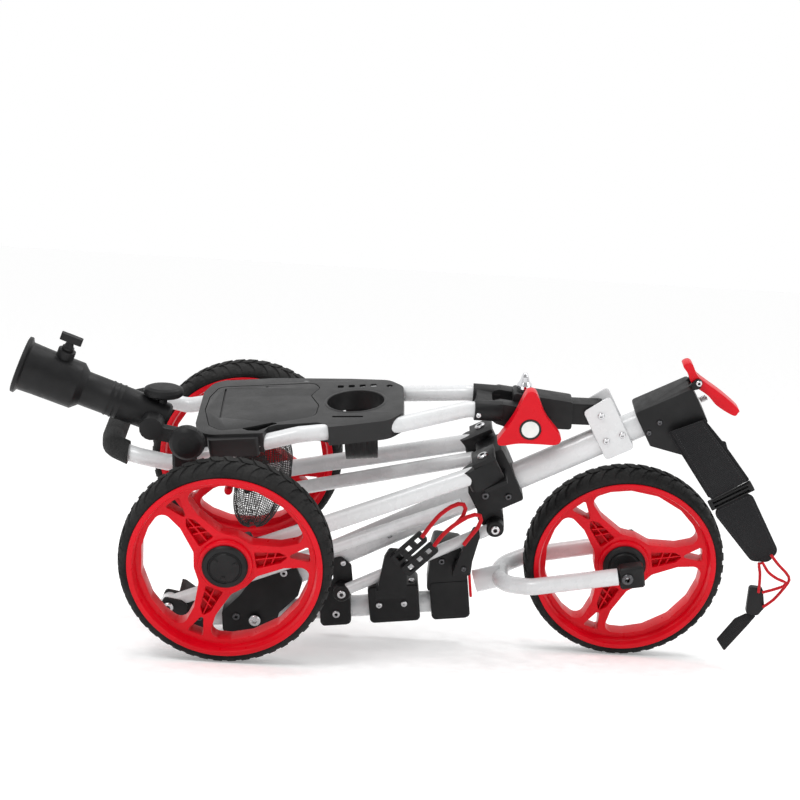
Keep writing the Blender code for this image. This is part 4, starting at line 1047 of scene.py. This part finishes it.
def umbrella_holder():
    axis = -along(-HOLDER_SLOPE)
    matrix = Matrix.Translation(HOLDER_PIVOT - axis * 0.019) @ axis.to_track_quat("Z",
                                                                                  "Y").to_matrix().to_4x4()
    n = HOLDER_LENGTH
    outside = [(0.0320, n - 0.0004), (0.0365, n), (0.0405, n - 0.001), (0.0410, n - 0.006), (0.0350,
                                                                                             n - 0.009),
               (0.0342, n - 0.030), (0.0336, n - 0.085), (0.0246, n - 0.095), (0.0242, 0.060), (0.0235,
                                                                                                0.004),
               (0.0200, 0.0), (0.0, 0.0)]
    inside = [(0.0, 0.050), (0.0180, 0.050), (0.0200, n - 0.096), (0.0300, n - 0.086)]
    holder = turned_soft("umbrella_holder_look", [*inside, *outside], 0.0016, matrix, 96)
    bore = rod("bore", HOLDER_PIVOT - Y_AXIS * 0.05, HOLDER_PIVOT + Y_AXIS * 0.004, 0.0054, sides=32)
    head = matrix @ Vector((0, 0, n - 0.055))
    up = across(-HOLDER_SLOPE)
    boss = rod("boss", head + up * 0.0325, head + up * 0.0445, 0.0125, sides=40)
    ribs = []
    for z in (0.070, 0.078, 0.086):
        ribs.append(turned("rib", [(0.0235, z), (0.0252, z), (0.0252, z + 0.003), (0.0235, z + 0.003)],
                           matrix, 72, True))
    holder = cut(join(holder, boss, *ribs), bore, rod("bore", head + up * 0.02, head + up * 0.06, 0.0044))
    holder = rounded(holder, 0.0009, 2, 45, 0.0)
    settle(holder, "umbrella_holder", BLACK, "umbrella_holder")
    knob(head, up)


def knob(head, up):
    """The T-shaped clamping screw on the umbrella holder."""
    screw = rod("umbrella_knob_look", head + up * 0.024, head + up * 0.0600, 0.0040, sides=32)
    collar = rod("collar", head + up * 0.0455, head + up * 0.0495, 0.0085, sides=40)
    waist = rod("waist", head + up * 0.0495, head + up * 0.0570, 0.0070, 0.0050, sides=40)
    matrix = Matrix.Translation(head + up * 0.0630) @ Matrix.Rotation(HOLDER_SLOPE, 4, "Y")
    outline = smooth_ring([(0.0155, 0.0), (0.0145, 0.0042), (0.008, 0.0046), (0, 0.0050), (-0.008, 0.0046),
                           (-0.0145, 0.0042), (-0.0155, 0), (-0.0145, -0.0042), (-0.008, -0.0046), (0,
                                                                                                    -0.0050),
                           (0.008, -0.0046), (0.0145, -0.0042)], 4)
    bar = slab("bar", [outline], -0.0058, 0.0042, matrix)
    screw = rounded(join(screw, collar, waist, bar), 0.0012, 3, 45, 0.0)
    settle(screw, "umbrella_knob", BLACK, "umbrella_knob")


def umbrella_clamp():
    refine("umbrella_clamp", "handle", BLACK, 0.0016)
    matrix = Matrix.Translation((-0.077, 0, 0.2875)) @ SIDE_ON
    profile = [(0, 0.1484), (0.0120, 0.1480), (0.0190, 0.1462), (0.0235, 0.1425), (0.0250, 0.1370),
               (0.0245, 0.1312), (0.0200, 0.1265), (0.0064, 0.1265), (0.0064, 0.1340), (0, 0.1340)]
    wheel = turned_soft("umbrella_clamp_wheel_look", profile, 0.0020, matrix, 96)
    flutes = []
    for a in range(0, 360, 20):
        at = polar(0.0264, a)
        flutes.append(rod("flute", matrix @ Vector((at.x, at.y, 0.128)), matrix @ Vector((at.x, at.y,
                                                                                          0.150)),
                          0.0021, sides=14))
    wheel = smooth(cut(wheel, *flutes), 35)
    settle(wheel, "umbrella_clamp_wheel", BLACK, "umbrella_clamp_wheel")
    knob_top = turned_soft(
        "tilt_lock_knob",
        [(0, 0.0150), (0.0210, 0.0145), (0.0265, 0.0120), (0.0280, 0.0080), (0.0275, 0.0030), (0.0240,
                                                                                               0.0), (0,
                                                                                                      0)],
        0.0018,
        Matrix.Translation((-0.122, -0.060, 0.3200)) @ Matrix.Rotation(math.radians(-6), 4, "Y")
        @ Matrix.Diagonal((1.0, 0.72, 1.0, 1.0)),
        64,
    )
    post = rod("tilt_lock_post", (-0.1235, -0.060, 0.3040), (-0.1220, -0.060, 0.3215), 0.0075, 0.0060,
               sides=32)
    knob_top = smooth(join(knob_top, post), 35)
    settle(knob_top, "umbrella_holder", BLACK)


# ---- Clamp knob, stem and white bracket ----------------------------------------------------------
KNOB_DISC = (0.3925, 0, 0.3545)


def clamp_knob():
    points = [(0.3765, 0.4035), (0.3820, 0.4098), (0.3895, 0.4100), (0.3955, 0.4030), (0.4110, 0.3765),
              (0.4345, 0.3530), (0.4378, 0.3440), (0.4310, 0.3372), (0.4070, 0.3345), (0.3800, 0.3310),
              (0.3560, 0.3240), (0.3500, 0.3300), (0.3535, 0.3385), (0.3670, 0.3690)]
    ring = smooth_ring(points, 6)
    body = slab("clamp_knob_look", [ring], 0.0475, 0.0660, SIDE_ON)
    at = Matrix.Translation(KNOB_DISC) @ SIDE_ON
    dish = turned("dish", [(0, 0.0654), (0.0158, 0.0651), (0.0172, 0.08), (0, 0.08)], at, 64)
    body = rounded(cut(body, dish), 0.0034, 4, 50, 0.0)
    settle(body, "clamp_knob", RED, "clamp_knob")
    # painted shadow: a dark ring filling the recess between the white label disc and the dish wall
    settle(turned_soft("knob_shadow_ring", [(0.0124, 0.0656), (0.0124, 0.0662), (0.0152, 0.0662), (0.0152,
                                                                                            0.0650)],
                       0.0003, at, 64), "clamp_knob", PAINTED_SHADOW)
    settle(turned_soft("knob_disc", [(0, 0.0659), (0.0126, 0.0659), (0.0126, 0.0650)], 0.0002, at, 64),
           "clamp_knob", LABEL)


def chrome_nut():
    """The conical nut that stands on top of the hinge block."""
    matrix = Matrix.Translation((0.381, 0, 0.3905)) @ Matrix.Rotation(math.radians(-6.6), 4, "Y")
    profile = [(0, 0.0240), (0.0032, 0.0228), (0.0052, 0.0180), (0.0072, 0.0110), (0.0108, 0.0060),
               (0.0114, 0.0), (0, 0)]
    settle(turned_soft("stem_lock_nut", profile, 0.0012, matrix, 64), "main_frame", CHROME)


def stem_and_bracket():
    refine("stem_outer", "main_frame", BLACK, 0.0016)
    refine("stem_inner", "main_frame", BLACK, 0.0010)
    refine("handle_yoke", "handle", BLACK, 0.0016)
    refine("handle_mount_bracket", "main_frame", WHITE, 0.0010)
    places = ((0.494, 0.374), (0.530, 0.350), (0.509, 0.337))
    for i, (x, z) in enumerate(places):
        screw_head(f"bracket_bolt_{i}", "main_frame", (x, -0.0207, z), (0, -1, 0), 0.0048, 0.0028, STEEL)
    screw_head("coupler_screw", "handle", (0.3190, -0.0472, 0.3570), (0, -1, 0), 0.0036, 0.0018, STEEL)
    chrome_nut()


# ---- Black castings ------------------------------------------------------------------------------
def castings():
    for node, body, edge in (
        ("mid_bracket", "main_frame", 0.0030),
        ("main_hinge_bracket", "main_frame", 0.0030),
        ("clevis_block", "main_frame", 0.0016),
        ("upper_bag_sleeve", "main_frame", 0.0045),
        ("keel_clamp", "front_leg", 0.0018),
        ("bag_bracket", "front_leg", 0.0024),
        ("bag_cradle", "front_leg", 0.0024),
        ("bungee_clips", "front_leg", 0.0008),
        ("strut_runner", "strut_runner", 0.0014),
        ("wheel_carrier_near", "carrier_near", 0.0014),
        ("wheel_carrier_far", "carrier_far", 0.0014),
        ("strap_hook", "main_frame", 0.0010),
            ):
        refine(node, body, BLACK, edge)
    bolt = rod("main_hinge_bolt_look", FOLD_PIVOT - Y_AXIS * 0.0285, FOLD_PIVOT + Y_AXIS * 0.0285, 0.005,
               sides=32, edge=0.0006)
    settle(bolt, "main_frame", STEEL, "main_hinge_bolt")
    near = (0, -1, 0)
    for name, body, at, radius, material in (
        ("mid_bolt_top", "main_frame", (0.3600, -0.030, 0.2640), 0.0062, STEEL),
        ("mid_bolt_low", "main_frame", (0.3520, -0.030, 0.2290), 0.0054, DARK_STEEL),
        ("mid_bolt_front", "main_frame", (0.3850, -0.030, 0.2330), 0.0048, DARK_STEEL),
        ("hinge_bolt_head", "main_frame", (0.0500, -0.0285, -0.0260), 0.0088, STEEL),
        ("hinge_bolt_rear", "main_frame", (0.0220, -0.0235, -0.0260), 0.0056, DARK_STEEL),
        ("hinge_bolt_high", "main_frame", (0.0820, -0.0235, 0.0560), 0.0056, STEEL),
        ("clevis_bolt_head", "main_frame", (CLEVIS_PIN.x, -0.0530, CLEVIS_PIN.z), 0.0080, STEEL),
        ("clevis_side_bolt", "main_frame", (-0.0320, -0.0205, -0.0380), 0.0052, DARK_STEEL),
        ("sleeve_screw_low", "main_frame", (0.5650, -0.0275, 0.3620), 0.0036, DARK_STEEL),
        ("sleeve_screw_high", "main_frame", (0.5770, -0.0275, 0.3800), 0.0036, DARK_STEEL),
        ("sleeve_screw_lip", "main_frame", (0.6220, -0.0275, 0.3530), 0.0044, DARK_STEEL),
        ("keel_clamp_bolt", "front_leg", (0.1680, -0.0225, 0.0010), 0.0056, STEEL),
        ("parking_clip_screw", "front_leg", (0.1660, -0.0225, 0.0860), 0.0042, STEEL),
        ("bag_bracket_bolt", "front_leg", (0.2285, -0.0235, 0.0265), 0.0046, STEEL),
        ("bag_bracket_bolt_front", "front_leg", (0.2645, -0.0235, 0.0350), 0.0046, STEEL),
        ("bag_cradle_bolt", "front_leg", (0.3080, -0.0225, 0.1120), 0.0048, DARK_STEEL),
        ("bag_point_bolt", "front_leg", (0.3385, -0.0540, 0.1200), 0.0036, DARK_STEEL),
        ("strut_low_bolt", "front_leg", (STRUT_LOW.x, -0.0430, STRUT_LOW.z), 0.0062, STEEL),
        ("runner_bolt_head", "strut_runner", (STRUT_TOP.x, -0.0445, STRUT_TOP.z), 0.0066, STEEL),
    ):
        screw_head(name, body, at, near, radius, 0.0026, material)
    nut = on_tube(0.172, 0.0)
    screw_head("main_tube_screw", "main_frame", (nut.x, -0.0168, nut.z), near, 0.0042, 0.0022, STEEL)
    up = across(TUBE_SLOPE)
    for tag, pivot, body in (
        ("near", ARM_PIVOT, "main_frame"),
        ("far", mirrored(ARM_PIVOT), "main_frame"),
        ("near_low", CARRIER_PIVOT, "carrier_near"),
        ("far_low", mirrored(CARRIER_PIVOT), "carrier_far"),
    ):
        screw_head("arm_pin_head_" + tag, body, pivot + up * 0.0235, up, 0.0080, 0.0032, STEEL)
    for tag, s in (("one", 0.180), ("two", 0.236)):
        at = on_keel(s, 0.0405, -0.010)
        screw_head("bag_bracket_cap_" + tag, "front_leg", at, across(KEEL_SLOPE), 0.0044, 0.0026, STEEL)
    for tag, s in (("one", 0.2645), ("two", 0.3090)):
        at = on_keel(s, 0.0420, -0.0165)
        screw_head("bag_cradle_cap_" + tag, "front_leg", at, across(KEEL_SLOPE), 0.0040, 0.0024, STEEL)


# ---- Trigger, straps and elastics ----------------------------------------------------------------
TRIGGER_PIVOT = Vector((0.622, 0, 0.443))
SPRING_TURNS = 5
SPRING_STEPS = 20


def trigger():
    outline = [(0.596, 0.463), (0.6015, 0.4688), (0.609, 0.467), (0.619, 0.452), (0.636, 0.442),
               (0.661, 0.429), (0.687, 0.412), (0.688, 0.406), (0.682, 0.401), (0.656, 0.412),
               (0.640, 0.425), (0.620, 0.435), (0.612, 0.441), (0.604, 0.454)]
    ring = smooth_ring(outline, 5)
    lever = slab("release_trigger_look", [ring], -0.0105, 0.0105, SIDE_ON)
    bore = rod("bore", TRIGGER_PIVOT - Y_AXIS * 0.03, TRIGGER_PIVOT + Y_AXIS * 0.03, 0.0034, sides=24)
    lever = rounded(cut(lever, bore), 0.0024, 3, 45, 0.0)
    settle(lever, "release_trigger", RED, "release_trigger")
    screw_head("trigger_pin_head", "main_frame", TRIGGER_PIVOT - Y_AXIS * 0.0165, -Y_AXIS, 0.0044, 0.0016,
               STEEL)
    start = on_tube(0.6612, -0.004)
    axis, up = along(TUBE_SLOPE), across(TUBE_SLOPE)
    points = []
    for i in range(SPRING_TURNS * SPRING_STEPS + 1):
        angle = 2 * math.pi * i / SPRING_STEPS
        spoke = Y_AXIS * math.cos(angle) + up * math.sin(angle)
        points.append(start + axis * (0.0010 + 0.0105 * i / (SPRING_TURNS * SPRING_STEPS)) + spoke * 0.004)
    settle(pipe("trigger_spring_look", points, 0.0006, 0, 2), "main_frame", STEEL, "trigger_spring")


STRAP_Y = -0.040


THREAD_RADIUS = 0.00035


def stitches(name, body, start, end, near, length=0.0026, gap=0.0014):
    """A row of thread stitches from start to end on the near side of a strap."""
    start, end = Vector(start), Vector(end)
    run = end - start
    count = int(run.length / (length + gap))
    bm = bmesh.new()
    turn = run.to_track_quat("X", "Y").to_matrix().to_4x4()
    for i in range(count):
        middle = start + run * ((i + 0.5) / count)
        matrix = Matrix.Translation((middle.x, near - 0.0001, middle.z)) @ turn
        thread = matrix @ Matrix.Diagonal((length / 2, THREAD_RADIUS, THREAD_RADIUS, 1))
        bmesh.ops.create_icosphere(bm, subdivisions=1, radius=1, matrix=thread)
    mesh = mesh_from(name, bm)
    settle(smooth(fresh(name, mesh), 80), body, STITCH)


STITCH = plain("stitch_thread", (0.055, 0.055, 0.057), 0.8)


def buckle():
    """The ladder buckle between strap and pad: a frame with two slots and a middle bar."""
    turn = Matrix.Translation((0.699, STRAP_Y, 0.2905)) @ Matrix.Rotation(math.radians(-38), 4, "Y")
    frame_look = block("strap_buckle_look", (0, 0, 0), (0.068, 0.009, 0.014))
    slots = [block("slot", (0, 0, z), (0.056, 0.02, 0.0034)) for z in (-0.0032, 0.0032)]
    frame_look = rounded(cut(frame_look, *slots), 0.0012, 3, 40, 0.0)
    frame_look.matrix_world = turn @ frame_look.matrix_world
    settle(frame_look, "main_frame", BLACK, "strap_buckle")
    for tag, z in (("low", -0.0033), ("high", 0.0033)):
        web = block("buckle_web_" + tag, (0, 0.0010, z), (0.054, 0.0030, 0.0030), edge=0.0006)
        web.matrix_world = turn @ web.matrix_world
        settle(web, "main_frame", WEB)


def straps():
    near, far = STRAP_Y - 0.0015, STRAP_Y + 0.0015
    strap_outline = [(0.593, 0.374), (0.634, 0.397), (0.7164, 0.3165), (0.6724, 0.2795)]
    web = plate("bag_strap_look", strap_outline, near, far, corner=0.003, edge=0.0008)
    settle(web, "main_frame", WEB, "bag_strap")
    pad = plate("strap_pad_look", [(0.6762, 0.2632), (0.7254, 0.3020), (0.786, 0.216), (0.776, 0.196),
                                   (0.750, 0.194)], STRAP_Y - 0.003, STRAP_Y + 0.003, corner=0.012,
                                   edge=0.0016)
    settle(pad, "main_frame", WEB, "strap_pad")
    tail_outline = [(0.7620, 0.1085), (0.7780, 0.1085), (0.7700, 0.0920), (0.7440, 0.0430), (0.7290,
                                                                                             0.0600),
                    (0.7480, 0.0980)]
    tail = plate("strap_tail_look", tail_outline, near, far, corner=0.002, edge=0.0008)
    settle(tail, "main_frame", WEB, "strap_tail")
    back_outline = [(0.590, 0.370), (0.6370, 0.3985), (0.6690, 0.3700), (0.6740, 0.3700), (0.6790, 0.3600),
                    (0.7215, 0.3170), (0.6690, 0.2800)]
    back = plate("strap_back_layer", back_outline, -0.0372, -0.0352, corner=0.003, edge=0.0008)
    settle(back, "main_frame", WEB)
    buckle()
    stitches("strap_stitch_left", "main_frame", (0.600, 0, 0.3725), (0.674, 0, 0.2850), near)
    stitches("strap_stitch_right", "main_frame", (0.634, 0, 0.3925), (0.711, 0, 0.3170), near)
    stitches("pad_stitch_left", "main_frame", (0.6830, 0, 0.2610), (0.7480, 0, 0.2010), STRAP_Y - 0.003)
    stitches("pad_stitch_right", "main_frame", (0.7240, 0, 0.2960), (0.7810, 0, 0.2160), STRAP_Y - 0.003)
    stitches("pad_stitch_top", "main_frame", (0.6840, 0, 0.2640), (0.7220, 0, 0.2940), STRAP_Y - 0.003)


def elastic(name, body, points, radius, node):
    path = smooth_path(points, radius * 3)
    piece = pipe(name, path, radius, 0, 4)
    settle(piece, body, BRAID, node)


def elastics():
    low = STRAP_Y - 0.0105
    elastic("upper_bungee_long_look", "main_frame",
            [(0.7745, low, 0.2120), (0.7880, low, 0.1990), (0.8030, low, 0.1870), (0.8095, low, 0.1770),
             (0.8040, low, 0.1610), (0.7940, low, 0.1420), (0.7825, low + 0.002, 0.1270)], 0.0022,
            "upper_bungee_long")
    elastic("upper_bungee_short_look", "main_frame",
            [(0.7700, low, 0.1500), (0.7680, low, 0.1660), (0.7645, low, 0.1830), (0.7600, low, 0.1960),
             (0.7640, low - 0.005, 0.2000), (0.7740, low - 0.006, 0.1880), (0.7900, low - 0.006, 0.1790),
             (0.8040, low - 0.006, 0.1750), (0.8020, low - 0.006, 0.1690), (0.7890, low - 0.004, 0.1600),
             (0.7755, low, 0.1510)], 0.0022,
            "upper_bungee_short")
    elastic("lower_bungee_left_look", "front_leg",
            [(0.2695, -0.0695, 0.168), (0.277, -0.071, 0.186), (0.289, -0.070, 0.207), (0.3030, -0.067,
                                                                                        0.2205),
             (0.3125, -0.065, 0.2255), (0.3200, -0.063, 0.2250), (0.3240, -0.062, 0.2185), (0.3225, -0.061,
                                                                                            0.2060),
             (0.315, -0.060, 0.192)],
            0.0031, "lower_bungee_left")
    elastic("lower_bungee_right_look", "front_leg",
            [(0.289, -0.0695, 0.157), (0.297, -0.071, 0.175), (0.311, -0.071, 0.194), (0.328, -0.070,
                                                                                       0.2095),
             (0.3380, -0.069, 0.2145), (0.3455, -0.0675, 0.2135), (0.3485, -0.067, 0.2065), (0.3460,
                                                                                             -0.066,
                                                                                             0.1940),
             (0.338, -0.065, 0.178), (0.331, -0.064, 0.163)], 0.0031, "lower_bungee_right")


# ---- Floor and light -----------------------------------------------------------------------------
FLOOR_HALF = 40
SKY_RANGE = (-0.75, -0.10, 0.42, 1.0)  # the sky's direction along Y, from and to, then its shade there
LIGHTS_AIM = (0, 0, 0.2)
LIGHTS = (
    ("key", (-1.2, -1.8, 2.6), 1.1, 34),
    ("side", (2.4, -1.4, 1.5), 0.9, 12),
    ("top", (0.3, 0.3, 3.0), 1.2, 16),
)  # name, place, size, power


def stage():
    bm = bmesh.new()
    bmesh.ops.create_grid(bm, x_segments=1, y_segments=1, size=FLOOR_HALF)
    mesh = mesh_from("floor", bm)
    floor = fresh("floor", mesh)
    material = plain("floor_paint", (0.95, 0.95, 0.95), 0.7, 0.00001)
    shader = material.node_tree.nodes["Principled BSDF"]
    shader.inputs["Specular IOR Level"].default_value = 0.0
    shader.inputs["Emission Color"].default_value = (1, 1, 1, 1)
    shader.inputs["Emission Strength"].default_value = 0.22
    mesh.materials.append(material)
    world = bpy.data.worlds.new("studio")
    world.use_nodes = True
    sky = world.node_tree
    direction = sky.nodes.new("ShaderNodeTexCoord")
    parts = sky.nodes.new("ShaderNodeSeparateXYZ")
    shade = sky.nodes.new("ShaderNodeMapRange")
    for i, number in enumerate(SKY_RANGE):
        shade.inputs[i + 1].default_value = number
    sky.links.new(direction.outputs["Generated"], parts.inputs["Vector"])
    sky.links.new(parts.outputs["Y"], shade.inputs["Value"])
    sky.links.new(shade.outputs["Result"], sky.nodes["Background"].inputs["Color"])
    sky.nodes["Background"].inputs["Strength"].default_value = 1.0
    bpy.context.scene.world = world
    bpy.context.scene.view_settings.view_transform = "Standard"
    for name, at, size, power in LIGHTS:
        data = bpy.data.lights.new(name, "AREA")
        data.size = size
        data.energy = power
        light = bpy.data.objects.new(name, data)
        bpy.context.scene.collection.objects.link(light)
        light.location = at
        light.rotation_euler = (Vector(LIGHTS_AIM) - Vector(at)).to_track_quat("-Z", "Y").to_euler()


wheels()
tubes()
fork()
console()
cup_band()
grip()
accessory_bag()
umbrella_holder()
umbrella_clamp()
clamp_knob()
stem_and_bracket()
castings()
trigger()
straps()
elastics()
stage()
